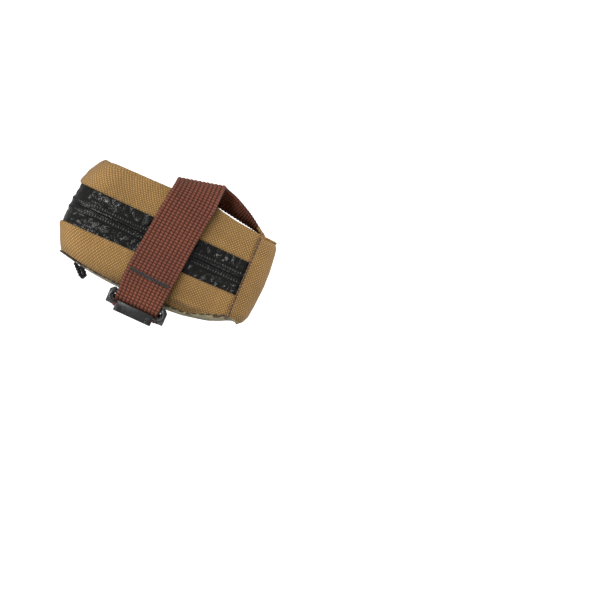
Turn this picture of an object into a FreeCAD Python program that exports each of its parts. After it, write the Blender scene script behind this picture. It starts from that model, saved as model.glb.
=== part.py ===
import FreeCAD, Part
import math
import os
from types import SimpleNamespace

import Sketcher

# Small bag that hangs from the two rails of a bicycle saddle. Millimetres.
# Frame: origin midway between the two rail axes at the strap, +X forward along the rails,
# +Y to the left, +Z up. The bag hangs below the rails, its mouth is the zipper that runs
# along both sides and round the rear, and its front panel is the soft hinge of the mouth.

document = FreeCAD.newDocument("saddle_bag")

SIZES = (
    ("rail_offset", 22.0, "half the distance between the two rail axes"),
    ("rail_radius", 3.5, "radius of a saddle rail"),
    ("webbing_width", 25.4, "width of the strap"),
    ("webbing_thickness", 1.6, "thickness of the strap"),
    ("strap_reach", 41.4, "middle of a side strap from the centre plane"),
    ("strap_lean", 3.4, "rearward lean of a side strap, degrees"),
    ("strap_shift", -3.9, "where the lower end of the strap has its middle, along X"),
    ("fabric", 1.0, "thickness of the outer fabric"),
    ("lining", 1.2, "thickness of the lining with its foam"),
    ("gap", 0.05, "gap between sewn layers"),
    ("tape_recess", 0.2, "how far the zipper tape lies behind the outer fabric"),
    ("tape_thickness", 0.8, "thickness of the laminated zipper tape"),
    ("coil_thickness", 1.5, "thickness of the zipper coil behind its tape"),
    ("coil_height", 2.5, "height of one row of the zipper coil"),
    ("half_split", 0.5, "half the slit between the two zipper tapes"),
    ("lining_stop", 5.3, "how far from the slit each lining stops"),
    ("seam_x", 41.5, "seam between the side panels and the front panel"),
    ("coil_end", 39.5, "forward end of the zipper coil"),
    ("rear_corner", 14.0, "radius of the rear corners in plan"),
    ("front_corner", 10.0, "radius of the front corners in plan"),
    ("board_thickness", 1.4, "thickness of the top stiffener board"),
    ("pad_thickness", 3.0, "thickness of the foam pad in the base"),
    ("slider_x", 30.0, "middle of the zipper slider when the bag is closed"),
    ("slider_length", 11.0, "length of the zipper slider"),
    ("slider_height", 8.4, "height of the slider's outer plate"),
    ("bar_y", -38.75, "axis of the buckle's sewn bar, across"),
    ("bar_z", -62.95, "axis of the buckle's sewn bar, height"),
    ("bar_thickness", 2.5, "thickness of the buckle's frame and bars"),
    ("buckle_droop", 25.0, "how far the buckle dips below level, degrees"),
    ("buckle_width", 33.3, "width of the buckle over its side rails"),
    ("slot_width", 26.6, "clear width of the buckle's slots"),
    ("lip_width", 21.6, "width of the buckle's release lip"),
)

# Heights at which the outer skin changes: name, height, rear, front and half width.
LEVELS = (
    ("top", -3.8, -53.0, 49.5, 34.5),
    ("shoulder", -20.0, -58.9, 52.0, 37.0),
    ("split", -29.8, -59.5, 52.5, 37.0),
    ("hip", -40.3, -60.0, 52.3, 37.0),
    ("knee", -53.0, -54.8, 48.5, 36.0),
    ("shin", -57.0, -52.0, 29.0, 32.0),
    ("base", -60.5, -33.0, 8.0, 22.0),
)


class Size:
    """A length with the expression that works it out from the sheet and its present value."""

    def __init__(self, text, value):
        self.text = text
        self.value = value

    def __add__(self, other):
        other = as_size(other)
        return Size(f"({self.text} + {other.text})", self.value + other.value)

    def __sub__(self, other):
        other = as_size(other)
        return Size(f"({self.text} - {other.text})", self.value - other.value)

    def __mul__(self, factor):
        return Size(f"({self.text} * {factor})", self.value * factor)

    def __neg__(self):
        return Size(f"(-{self.text})", -self.value)


def as_size(thing):
    """Read a plain number as a size."""
    if isinstance(thing, Size):
        return thing
    return Size(f"({float(thing)})", float(thing))


def fill_sheet():
    """Write every driving dimension into the sheet and return them by name."""
    sheet = document.addObject("Spreadsheet::Sheet", "Sizes")
    rows = list(SIZES)
    for name, height, rear, front, half in LEVELS:
        rows.append((f"{name}_z", height, f"height of the {name} level"))
        rows.append((f"{name}_rear", rear, f"rear of the skin at the {name} level"))
        rows.append((f"{name}_front", front, f"front of the skin at the {name} level"))
        rows.append((f"{name}_half", half, f"half width of the skin at the {name} level"))
    sizes = {}
    for row, (name, value, note) in enumerate(rows, start=1):
        sheet.set(f"A{row}", name)
        sheet.set(f"B{row}", str(value))
        sheet.set(f"C{row}", note)
        sheet.setAlias(f"B{row}", name)
        sizes[name] = Size(f"Sizes.{name}", value)
    document.recompute()
    return SimpleNamespace(**sizes)


dim = fill_sheet()
half_webbing = dim.webbing_thickness * 0.5
skin = dim.fabric + dim.gap


# ---------------------------------------------------------------- sketches and simple solids

def new_body(label):
    body = document.addObject("PartDesign::Body", label)
    body.Label = label
    return body


def new_sketch(body, role, offset):
    """Attach a sketch to one of the body's own origin planes, moved along its normal."""
    sketch = body.newObject("Sketcher::SketchObject", "Sketch")
    plane = next(item for item in body.Origin.OriginFeatures if item.Role == role)
    sketch.AttachmentSupport = [(plane, "")]
    sketch.MapMode = "FlatFace"
    sketch.setExpression("AttachmentOffset.Base.z", as_size(offset).text)
    return sketch


def bind(sketch, kind, first, spot, size, start=(-1, 1)):
    """Hold a point at a distance along one sketch axis from another point."""
    number = sketch.addConstraint(
        Sketcher.Constraint(kind, start[0], start[1], first, spot, size.value))
    sketch.setExpression(f"Constraints[{number}]", size.text)


def draw_polygon(sketch, corners):
    """Draw a closed polygon whose corners are pinned to sizes from the sheet."""
    corners = [(as_size(u), as_size(v)) for u, v in corners]
    spots = [FreeCAD.Vector(u.value, v.value, 0) for u, v in corners]
    for start, end in zip(spots, spots[1:] + spots[:1]):
        sketch.addGeometry(Part.LineSegment(start, end))
    for index, (u, v) in enumerate(corners):
        following = (index + 1) % len(corners)
        sketch.addConstraint(Sketcher.Constraint("Coincident", index, 2, following, 1))
        bind(sketch, "DistanceX", index, 1, u)
        bind(sketch, "DistanceY", index, 1, v)


def draw_box(sketch, low, high):
    draw_polygon(sketch, [(low[0], low[1]), (high[0], low[1]), (high[0], high[1]), (low[0], high[1])])


def draw_ring(sketch, ring):
    """Draw a rectangle with rounded corners: the bag's outline at one height."""
    rear, front, half = ring.rear.value, ring.front.value, ring.half.value
    back, fore = ring.rear_corner.value, ring.front_corner.value
    corners = (
        (front - fore, fore - half, fore, -90),
        (front - fore, half - fore, fore, 0),
        (rear + back, half - back, back, 90),
        (rear + back, back - half, back, 180),
    )
    up = FreeCAD.Vector(0, 0, 1)
    arcs = []
    for x, y, radius, start in corners:
        circle = Part.Circle(FreeCAD.Vector(x, y, 0), up, radius)
        arcs.append(Part.ArcOfCircle(circle, math.radians(start), math.radians(start + 90)))
    for index, arc in enumerate(arcs):
        following = arcs[(index + 1) % 4]
        sketch.addGeometry(arc)
        sketch.addGeometry(Part.LineSegment(arc.EndPoint, following.StartPoint))
    for edge in range(8):
        sketch.addConstraint(Sketcher.Constraint("Tangent", edge, 2, (edge + 1) % 8, 1))
    for edge, kind in ((1, "Vertical"), (3, "Horizontal"), (5, "Vertical"), (7, "Horizontal")):
        sketch.addConstraint(Sketcher.Constraint(kind, edge))
    bind(sketch, "DistanceX", 1, 1, ring.front)
    bind(sketch, "DistanceY", 3, 1, ring.half)
    bind(sketch, "DistanceX", 5, 1, ring.rear)
    bind(sketch, "DistanceY", 7, 1, -ring.half)
    for arc, radius in ((0, ring.front_corner), (2, ring.front_corner),
                        (4, ring.rear_corner), (6, ring.rear_corner)):
        number = sketch.addConstraint(Sketcher.Constraint("Radius", arc, radius.value))
        sketch.setExpression(f"Constraints[{number}]", radius.text)


def ring(level, inset=0.0, height=None):
    """The skin's outline at a named level, moved inwards, at that level's height or another."""
    inset = as_size(inset)
    return SimpleNamespace(
        height=as_size(height) if height is not None else getattr(dim, f"{level}_z"),
        rear=getattr(dim, f"{level}_rear") + inset,
        front=getattr(dim, f"{level}_front") - inset,
        half=getattr(dim, f"{level}_half") - inset,
        rear_corner=dim.rear_corner - inset,
        front_corner=dim.front_corner - inset)


def loft(body, kind, rings):
    sketches = []
    for outline in rings:
        sketch = new_sketch(body, "XY_Plane", outline.height)
        draw_ring(sketch, outline)
        sketches.append(sketch)
    feature = body.newObject(kind, "Loft")
    feature.Profile = sketches[0]
    feature.Sections = sketches[1:]
    feature.Ruled = True
    return feature


def pad(body, sketch, length, both_ways=False):
    feature = body.newObject("PartDesign::Pad", "Pad")
    feature.Profile = sketch
    feature.setExpression("Length", as_size(length).text)
    feature.Midplane = both_ways
    return feature


def cut_through(body, sketch):
    """Cut a sketch through the whole body, both ways."""
    feature = body.newObject("PartDesign::Pocket", "Pocket")
    feature.Profile = sketch
    feature.Type = "ThroughAll"
    feature.Midplane = True
    return feature


def keep_between(body, low, high):
    """Cut away what lies behind low and what lies ahead of high along X."""
    far, wide = 80.0, 60.0
    for start, end in ((-far, low), (high, far)):
        if start is None or end is None:
            continue
        sketch = new_sketch(body, "XY_Plane", 0.0)
        draw_box(sketch, (start, -wide), (end, wide))
        cut_through(body, sketch)


def shell(label, outer, inner, low=None, high=None):
    """A lofted wall: the outer outlines less the inner ones, kept between two planes."""
    body = new_body(label)
    loft(body, "PartDesign::AdditiveLoft", outer)
    loft(body, "PartDesign::SubtractiveLoft", inner)
    keep_between(body, low, high)
    return body


def block(label, low, high):
    """A plain box between two corners."""
    box = document.addObject("Part::Box", label)
    box.Label = label
    for side, axis, near, far in zip(("Length", "Width", "Height"), "xyz", low, high):
        near, far = as_size(near), as_size(far)
        box.setExpression(side, (far - near).text)
        box.setExpression(f"Placement.Base.{axis}", near.text)
    return box


def fuse(label, pieces):
    joined = document.addObject("Part::MultiFuse", label)
    joined.Label = label
    joined.Shapes = pieces
    return joined


def webbing(label, path, middle=0.0, width=None):
    """A strap of the webbing's thickness, folded along a path of edges across the bag."""
    edges = [edge.toShape() for edge in path]
    outline = Part.Wire(edges).makeOffset2D(half_webbing.value, 0, False, False)
    width = width or dim.webbing_width.value
    solid = Part.Face(outline).extrude(FreeCAD.Vector(width, 0, 0))
    feature = document.addObject("Part::Feature", label)
    feature.Label = label
    feature.Shape = solid
    feature.Placement = FreeCAD.Placement(
        FreeCAD.Vector(middle - width / 2, 0, 0), FreeCAD.Rotation())
    return feature


def across(y, z):
    return FreeCAD.Vector(0, y, z)


def straight(points):
    """Straight runs through a list of places across the bag."""
    return [Part.LineSegment(start, end) for start, end in zip(points, points[1:])]


def arc_over(centre, radius, start, middle, end):
    """A round run about a centre, through three angles measured from +Y towards +Z."""
    spots = [centre + across(radius * math.cos(math.radians(angle)),
                             radius * math.sin(math.radians(angle)))
             for angle in (start, middle, end)]
    return Part.Arc(*spots)


# ---------------------------------------------------------------- upper half of the bag

upper_edge = dim.split_z + dim.half_split
lower_edge = dim.split_z - dim.half_split
tape_outer = dim.tape_recess
tape_inner = dim.tape_recess + dim.tape_thickness
coil_outer = tape_inner + dim.gap * 4
coil_inner = coil_outer + dim.coil_thickness
lining_outer = skin
lining_inner = skin + dim.lining
board_top = dim.top_z - skin
roof_top = board_top - dim.board_thickness - dim.gap


def top_panel():
    """Flat fabric panel that the rails press on."""
    body = new_body("top_panel")
    sketch = new_sketch(body, "XY_Plane", dim.top_z - dim.fabric)
    draw_ring(sketch, ring("top"))
    pad(body, sketch, dim.fabric)
    return body


def top_stiffener():
    """Plastic board under the top panel."""
    body = new_body("top_stiffener")
    sketch = new_sketch(body, "XY_Plane", board_top - dim.board_thickness)
    edge_margin = 2.4
    draw_ring(sketch, ring("top", edge_margin))
    pad(body, sketch, dim.board_thickness)
    return body


def upper_side_panel():
    """Band of outer fabric above the zipper, along both sides and round the rear."""
    return shell("upper_side_panel",
                 [ring("top", height=board_top), ring("shoulder")],
                 [ring("top", dim.fabric, board_top), ring("shoulder", dim.fabric)],
                 high=dim.seam_x)


def upper_lining():
    """Padded lining of the upper half, closed at the top."""
    roof_taper = 0.4
    stop = dim.split_z + dim.lining_stop
    return shell("upper_lining",
                 [ring("top", lining_outer + roof_taper, roof_top), ring("shoulder", lining_outer),
                  ring("shoulder", lining_outer, stop)],
                 [ring("top", lining_inner + roof_taper, roof_top - dim.lining), ring("shoulder", lining_inner),
                  ring("shoulder", lining_inner, stop)])


def zip_tape(label, near_level, near_z, far_level, far_z):
    return shell(label,
                 [ring(near_level, tape_outer, near_z), ring(far_level, tape_outer, far_z)],
                 [ring(near_level, tape_inner, near_z), ring(far_level, tape_inner, far_z)],
                 high=dim.seam_x)


def zip_coil(label, high_z, low_z):
    return shell(label,
                 [ring("split", coil_outer, high_z), ring("split", coil_outer, low_z)],
                 [ring("split", coil_inner, high_z), ring("split", coil_inner, low_z)],
                 high=dim.coil_end)


def front_panel():
    """Outer fabric of the front, one piece from top to bottom: the mouth's soft hinge."""
    levels = ("shoulder", "split", "hip", "knee")
    return shell("front_panel",
                 [ring("top", height=board_top)] + [ring(level) for level in levels],
                 [ring("top", dim.fabric, board_top)] + [ring(level, dim.fabric) for level in levels],
                 low=dim.seam_x + dim.gap)


def zip_end_stops():
    """A moulded stop on the coil at each forward end of the zipper."""
    length, height, thickness = 2.6, 3.0, 0.9
    inner = dim.split_half - coil_inner
    pieces = []
    for name, side in (("stop_left", 1), ("stop_right", -1)):
        faces = sorted((inner * side, (inner - thickness) * side), key=lambda size: size.value)
        pieces.append(block(name, (dim.coil_end - length, faces[0], upper_edge),
                            (dim.coil_end, faces[1], upper_edge + height)))
    return fuse("zip_end_stops", pieces)


# ---------------------------------------------------------------- lower half of the bag

def lower_side_panel():
    """Band of outer fabric below the zipper, along both sides and round the rear."""
    return shell("lower_side_panel",
                 [ring("hip"), ring("knee")],
                 [ring("hip", dim.fabric), ring("knee", dim.fabric)],
                 high=dim.seam_x)


def bottom_panel():
    """Dished fabric panel that closes the bag below."""
    knee_top = dim.knee_z - dim.gap
    return shell("bottom_panel",
                 [ring("knee", height=knee_top), ring("shin"), ring("base")],
                 [ring("knee", dim.fabric, knee_top), ring("shin", dim.fabric, dim.shin_z + 0.8),
                  ring("base", dim.fabric, dim.base_z + dim.fabric)])


def lower_lining():
    """Padded lining of the lower half, closed at the bottom."""
    wall_taper = 0.2
    stop = dim.split_z - dim.lining_stop
    rise = dim.fabric + dim.gap
    thick = rise + dim.lining
    return shell("lower_lining",
                 [ring("split", lining_outer + wall_taper, stop), ring("hip", lining_outer),
                  ring("knee", lining_outer + wall_taper, dim.knee_z + 0.3),
                  ring("shin", lining_outer, dim.shin_z + rise), ring("base", lining_outer, dim.base_z + rise)],
                 [ring("split", lining_inner + wall_taper, stop), ring("hip", lining_inner),
                  ring("knee", lining_inner + wall_taper, dim.knee_z + 0.9),
                  ring("shin", lining_inner, dim.shin_z + thick), ring("base", lining_inner, dim.base_z + thick)])


def base_pad():
    """Foam pad that lies in the base, inside the lining."""
    floor = dim.base_z + dim.fabric + dim.gap + dim.lining + 0.1
    body = new_body("base_pad")
    sketch = new_sketch(body, "XY_Plane", floor)
    draw_ring(sketch, ring("base", lining_inner + 0.1))
    pad(body, sketch, dim.pad_thickness)
    return body


def rear_tab():
    """Short folded tab of webbing sewn under the rear of the base."""
    width = 18.0
    body = new_body("rear_tab")
    sketch = new_sketch(body, "XZ_Plane", 0.0)
    draw_polygon(sketch, [(-45.0, -58.6), (-38.0, -64.8), (-35.9, -61.6), (-39.4, -59.6)])
    pad(body, sketch, width, both_ways=True)
    return body


# ---------------------------------------------------------------- strap

side_start = -10.0
loop_top = -60.0
far_bend = -54.0
end_cap = half_webbing.value
under_z = -63.6
tail_z = -65.5


def strap_hanger(label, side):
    """Strap over one rail: round the rail, out to the edge of the bag and down."""
    inboard, crest, leave = 215.0, 120.0, 73.0
    radius = dim.rail_radius.value + half_webbing.value
    rail = across(dim.rail_offset.value, 0)
    over = arc_over(rail, radius, inboard, crest, leave)
    slope = math.radians(90.0 - leave)
    run = dim.strap_reach.value - over.EndPoint.y
    edge = over.EndPoint + across(run, -run * math.tan(slope))
    path = [over] + straight([over.EndPoint, edge, across(edge.y, side_start + end_cap)])
    feature = webbing(label, path)
    if side < 0:
        feature.Shape = feature.Shape.mirror(across(0, 0), across(1, 0))
    return feature


def strap_anchor(label, side):
    """Strap from one rail forward over the top panel to the seam of the front panel."""
    foot_inset, flare, bevel = 5.6, 3.0, 9.0
    foot = dim.rail_offset - foot_inset
    inner = 1.0
    lift = 0.3
    rear_half = dim.webbing_width * 0.5
    body = new_body(label)
    sketch = new_sketch(body, "XY_Plane", dim.top_z + lift)
    corners = [(-rear_half, foot), (rear_half, foot), (dim.seam_x, foot - flare), (dim.seam_x, as_size(inner)),
               (dim.seam_x - bevel, as_size(inner))]
    if side < 0:
        corners = [(u, -as_size(v)) for u, v in corners]
    draw_polygon(sketch, corners)
    pad(body, sketch, dim.webbing_thickness)
    return body


def anchor_patch():
    """Doubled patch sewn over the forward ends of the strap."""
    length, half = 8.0, 17.0
    low = dim.top_z + 0.3 + dim.webbing_thickness + dim.gap
    return block("anchor_patch", (dim.seam_x - length, -half, low), (dim.seam_x, half, low + 0.9))


def strap_side(label, side, bottom):
    """Strap down one side of the bag, leaning rearward."""
    lean = FreeCAD.Rotation(FreeCAD.Vector(0, 1, 0), dim.strap_lean.value)
    dip = dim.webbing_width.value * math.sin(math.radians(dim.strap_lean.value)) + dim.gap.value
    box = document.addObject("Part::Box", label)
    box.Label = label
    box.setExpression("Length", dim.webbing_width.text)
    box.setExpression("Width", dim.webbing_thickness.text)
    box.Height = side_start - dim.gap.value - bottom - dip
    near_face = side * dim.strap_reach.value - half_webbing.value
    corner = lean.multVec(FreeCAD.Vector(-dim.webbing_width.value / 2, 0, bottom))
    box.Placement = FreeCAD.Placement(FreeCAD.Vector(corner.x, near_face, bottom + dip), lean)
    return box


def strap_loop():
    """Lower end of the right strap, folded round the buckle's bar and sewn back to itself."""
    bar = across(dim.bar_y.value, dim.bar_z.value)
    radius = dim.bar_y.value + dim.strap_reach.value
    layers = dim.webbing_thickness.value + 0.1
    outer = -dim.strap_reach.value
    fold = arc_over(bar, radius, 180.0, 270.0, 360.0)
    path = [Part.LineSegment(across(outer, loop_top - end_cap), fold.StartPoint), fold]
    rise = fold.EndPoint + across(0, 1.75)
    path += straight([fold.EndPoint, rise, across(outer + layers, -57.0), across(outer + layers, -48.0)])
    return webbing("strap_loop", path, middle=dim.strap_shift.value)


def loop_stitching():
    """Bar of thread that sews the loop shut, on the outside of the strap."""
    height, width, thickness = 2.0, 21.5, 0.3
    face = -dim.strap_reach - half_webbing
    middle = -2.9
    return block("loop_stitching", (middle - width / 2, face - thickness - 0.05, -50.6),
                 (middle + width / 2, face - 0.05, -50.6 + height))


def in_buckle(along, out):
    """A place across the bag from its distance along the buckle and out from its middle plane."""
    droop = math.radians(dim.buckle_droop.value)
    return across(dim.bar_y.value + along * math.cos(droop) - out * math.sin(droop),
                  dim.bar_z.value - along * math.sin(droop) - out * math.cos(droop))


def strap_weave():
    """Strap through the buckle: out by one slot, over the middle bar and back by the other."""
    clear = dim.bar_thickness.value / 2 + half_webbing.value + 0.15
    spots = [across(-24.0, under_z), in_buckle(5.4, -2.2), in_buckle(5.4, clear),
             in_buckle(11.4, clear), in_buckle(12.0, -1.8), across(-20.0, tail_z)]
    return webbing("strap_weave", straight(spots), middle=dim.strap_shift.value)


def strap_under():
    """Strap from the left side round the lower corner and across under the bag."""
    reach = dim.strap_reach.value
    spots = [across(reach, far_bend - end_cap), across(reach, far_bend - 2.0), across(33.0, under_z),
             across(-22.2, under_z)]
    return webbing("strap_under", straight(spots), middle=dim.strap_shift.value)


def strap_tail():
    """Free end of the strap, doubled back under the run across the bag, with a folded hem."""
    hem = 12.0
    spots = [across(-18.2, tail_z - 0.05), across(26.0, tail_z - 0.05), across(26.8, tail_z - 1.0),
             across(26.0, tail_z - 1.85), across(26.0 - hem, tail_z - 1.85)]
    return webbing("strap_tail", straight(spots), middle=dim.strap_shift.value)


def strap_keeper():
    """Elastic loop that holds the free end against the strap."""
    wall = 0.8
    clearance = 0.25
    half = dim.webbing_width * 0.5 + clearance
    low = as_size(tail_z) - half_webbing - clearance - wall
    high = as_size(under_z) + half_webbing + clearance + wall
    body = new_body("strap_keeper")
    sketch = new_sketch(body, "XZ_Plane", -8.0)
    left = dim.strap_shift - half - wall
    right = dim.strap_shift + half + wall
    draw_box(sketch, (left, low), (right, high))
    pad(body, sketch, 8.0)
    opening = new_sketch(body, "XZ_Plane", -8.0)
    draw_box(opening, (left + wall, low + wall), (right - wall, high - wall))
    cut_through(body, opening)
    return body


# ---------------------------------------------------------------- buckle

def round_edges(body, radius, wanted):
    """Fillet the edges of the body's tip whose middle a test accepts."""
    document.recompute()
    tip = body.Tip
    names = []
    for number, edge in enumerate(tip.Shape.Edges, start=1):
        if wanted(edge):
            names.append(f"Edge{number}")
    feature = body.newObject("PartDesign::Fillet", "Fillet")
    feature.Base = (tip, names)
    feature.Radius = radius
    return feature


def buckle_frame():
    """Moulded strap buckle: sewn bar, side rails, middle bar, and a release lip hung between two ears."""
    side = dim.buckle_width * 0.5
    slot = dim.slot_width * 0.5
    bar = dim.bar_thickness * 0.5
    first_slot, middle_bar, second_slot, frame_end = 7.0, 10.0, 14.0, 15.6
    body = new_body("buckle_frame")
    outline = new_sketch(body, "XY_Plane", 0.0)
    draw_box(outline, (-side, -bar), (side, frame_end))
    pad(body, outline, dim.bar_thickness, both_ways=True)
    for start, end in ((bar, first_slot), (middle_bar, second_slot)):
        opening = new_sketch(body, "XY_Plane", 0.0)
        draw_box(opening, (-slot, start), (slot, end))
        cut_through(body, opening)
    ear = [(-0.9, -1.0), (2.4, -5.7), (5.6, -5.1), (6.6, -1.0)]
    for start in (slot, -side):
        cheek = new_sketch(body, "YZ_Plane", start)
        draw_polygon(cheek, ear)
        pad(body, cheek, side - slot)
    shoulder = new_sketch(body, "YZ_Plane", 0.0)
    draw_polygon(shoulder, [(1.9, -3.7), (3.5, -5.6), (5.5, -5.0), (4.2, -3.3)])
    pad(body, shoulder, dim.buckle_width, both_ways=True)
    tongue = new_sketch(body, "YZ_Plane", 0.0)
    draw_polygon(tongue, [(1.9, -3.7), (5.5, -8.6), (7.6, -7.6), (4.2, -3.3)])
    pad(body, tongue, dim.lip_width, both_ways=True)
    corner_radius = 3.4

    def outer_corner(edge):
        middle = edge.CenterOfMass
        upright = abs(edge.tangentAt(edge.FirstParameter).z) > 0.99
        return upright and abs(abs(middle.x) - side.value) < 0.01

    round_edges(body, corner_radius, outer_corner)
    body.Placement = FreeCAD.Placement(
        FreeCAD.Vector(dim.strap_shift.value, dim.bar_y.value, dim.bar_z.value),
        FreeCAD.Rotation(FreeCAD.Vector(1, 0, 0), -dim.buckle_droop.value))
    return body


# ---------------------------------------------------------------- zipper slider and pull

plate_inner = dim.split_half + 0.1
plate_outer = plate_inner + 1.1
staple_top = plate_outer + 2.0
pivot_y = plate_outer + 0.85


def slider_body():
    """Two plates, outside and inside the tape, joined by a neck through the slit."""
    rear = dim.slider_x - dim.slider_length * 0.5
    front = dim.slider_x + dim.slider_length * 0.5
    half = dim.slider_height * 0.5
    inside_half = half - 0.7
    neck_half = 0.3
    coil_clearance = 0.4
    inside_thickness = 1.3
    inside_outer = dim.split_half - coil_inner - coil_clearance
    inside_inner = inside_outer - inside_thickness
    middle = dim.split_z
    outside = block("slider_outside", (rear, plate_inner, middle - half), (front, plate_outer, middle + half))
    neck = block("slider_neck", (front - 4.5, inside_outer, middle - neck_half),
                 (front - 0.5, plate_inner, middle + neck_half))
    inside = block("slider_inside", (rear, inside_inner, middle - inside_half),
                   (front, inside_outer, middle + inside_half))
    return fuse("slider_body", [outside, neck, inside])


def slider_staple():
    """Bridge on the slider's outer plate that holds the pull's cross bar."""
    half = 0.9
    reach = 3.6
    leg = 1.0
    middle = dim.split_z
    low = middle - half
    high = middle + half
    rear = dim.slider_x - reach
    front = dim.slider_x + reach
    legs = [block("staple_rear", (rear, plate_outer, low), (rear + leg, staple_top, high)),
            block("staple_front", (front - leg, plate_outer, low), (front, staple_top, high)),
            block("staple_bridge", (rear, staple_top - 0.6, low), (front, staple_top, high))]
    return fuse("slider_staple", legs)


def pull_ring():
    """Cross bar under the staple with an arm each side that holds the grip."""
    radius = 0.5
    arm_inner, arm_outer = 1.5, 2.7
    reach = 6.5
    middle = dim.split_z
    bar = document.addObject("Part::Cylinder", "pull_bar")
    bar.Radius = radius
    bar.Height = 2 * arm_outer
    bar.setExpression("Placement.Base.x", dim.slider_x.text)
    bar.setExpression("Placement.Base.y", pivot_y.text)
    bar.setExpression("Placement.Base.z", (middle - arm_outer).text)
    near = pivot_y - radius
    far = pivot_y + radius
    pieces = [bar]
    for name, low, high in (("pull_arm_low", -arm_outer, -arm_inner), ("pull_arm_high", arm_inner, arm_outer)):
        pieces.append(block(name, (dim.slider_x, near, middle + low), (dim.slider_x + reach, far, middle + high)))
    pieces.append(block("pull_bridge", (dim.slider_x + reach - 1.4, near, middle - arm_outer),
                        (dim.slider_x + reach, far, middle + arm_outer)))
    return fuse("pull_ring", pieces)


def pull_grip():
    """Flat grip on the end of the pull."""
    start, end, half = 6.6, 20.0, 3.4
    return block("pull_grip", (dim.slider_x + start, pivot_y - 0.6, dim.split_z - half),
                 (dim.slider_x + end, pivot_y + 0.6, dim.split_z + half))


# ---------------------------------------------------------------- assembly

nodes = [
    top_panel(),
    top_stiffener(),
    upper_side_panel(),
    upper_lining(),
    zip_tape("upper_zip_tape", "shoulder", dim.shoulder_z - dim.gap, "split", upper_edge),
    zip_coil("upper_zip_coil", upper_edge + dim.coil_height, upper_edge),
    front_panel(),
    zip_end_stops(),
    strap_hanger("strap_hanger_left", 1),
    strap_hanger("strap_hanger_right", -1),
    strap_anchor("strap_anchor_left", 1),
    strap_anchor("strap_anchor_right", -1),
    anchor_patch(),
    strap_side("strap_side_left", 1, far_bend),
    strap_side("strap_side_right", -1, loop_top),
    lower_side_panel(),
    bottom_panel(),
    lower_lining(),
    base_pad(),
    zip_tape("lower_zip_tape", "split", lower_edge, "hip", dim.hip_z + dim.gap),
    zip_coil("lower_zip_coil", lower_edge, lower_edge - dim.coil_height),
    rear_tab(),
    strap_loop(),
    loop_stitching(),
    strap_weave(),
    strap_under(),
    strap_tail(),
    strap_keeper(),
    buckle_frame(),
    slider_body(),
    slider_staple(),
    pull_ring(),
    pull_grip(),
]


def check_and_write():
    """Recompute, refuse anything that failed, and write one file for each node."""
    document.recompute()
    for item in document.Objects:
        if "Invalid" in item.State or "Error" in item.State:
            raise RuntimeError(f"{item.Label} failed: {item.State}")
    os.makedirs("parts", exist_ok=True)
    for node in nodes:
        shape = node.Shape
        if shape.isNull() or not shape.isValid() or shape.Volume <= 0:
            raise RuntimeError(f"{node.Label} has no valid solid")
        shape.exportStep(f"parts/{node.Label}.step")
        print(f"{node.Label}: {len(shape.Solids)} solid, {shape.Volume:.0f} mm3")


check_and_write()
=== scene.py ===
import math

import bmesh
import bpy
import numpy as np
from mathutils import Matrix, Vector


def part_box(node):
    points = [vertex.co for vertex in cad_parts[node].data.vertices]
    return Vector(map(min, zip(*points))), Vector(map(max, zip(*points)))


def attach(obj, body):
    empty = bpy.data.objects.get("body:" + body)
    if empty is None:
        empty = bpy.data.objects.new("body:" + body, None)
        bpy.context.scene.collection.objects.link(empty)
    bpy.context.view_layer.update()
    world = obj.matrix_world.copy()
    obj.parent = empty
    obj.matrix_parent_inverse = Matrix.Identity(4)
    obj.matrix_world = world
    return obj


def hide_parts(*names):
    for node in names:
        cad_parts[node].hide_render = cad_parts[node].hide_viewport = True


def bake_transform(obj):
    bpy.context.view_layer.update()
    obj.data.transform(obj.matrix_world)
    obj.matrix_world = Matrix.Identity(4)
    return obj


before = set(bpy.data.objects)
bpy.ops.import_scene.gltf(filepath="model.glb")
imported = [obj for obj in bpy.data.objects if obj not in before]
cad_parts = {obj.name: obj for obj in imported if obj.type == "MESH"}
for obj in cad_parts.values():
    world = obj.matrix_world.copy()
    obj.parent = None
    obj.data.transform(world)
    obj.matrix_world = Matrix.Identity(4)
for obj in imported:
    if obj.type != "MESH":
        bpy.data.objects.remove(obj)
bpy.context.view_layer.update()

# Looks of the saddle bag. Shapes are worked out in millimetres and made in metres.
# +X forward along the rails, +Y left, +Z up; the right side faces the camera.
MM = 0.001


def node_box(name):
    """Lowest and highest corner of a CAD node, in millimetres."""
    low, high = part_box(name)
    return np.array(low) / MM, np.array(high) / MM


SIDE_LOW, SIDE_HIGH = node_box("upper_side_panel")
TOP_LOW, TOP_HIGH = node_box("top_panel")
TAPE_LOW, TAPE_HIGH = node_box("lower_zip_tape")
FRONT_LOW, FRONT_HIGH = node_box("front_panel")
HANGER_LOW, HANGER_HIGH = node_box("strap_hanger_right")
BUCKLE_LOW, BUCKLE_HIGH = node_box("buckle_frame")
WEBBING = HANGER_HIGH[0] - HANGER_LOW[0]
WEBBING_THICK = 1.6
SEAM_X = SIDE_HIGH[0]
SPLIT_Z = (node_box("upper_zip_tape")[0][2] + TAPE_HIGH[2]) / 2
REAR_CORNER = 14.0
FRONT_CORNER = 10.0
FABRIC = 1.0
THIN = 0.6
COIL_PITCH = 1.5
UPWARD = np.array((0.0, 0.0, 1.0))


# ------------------------------------------------------------------ the bag's outline

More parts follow.
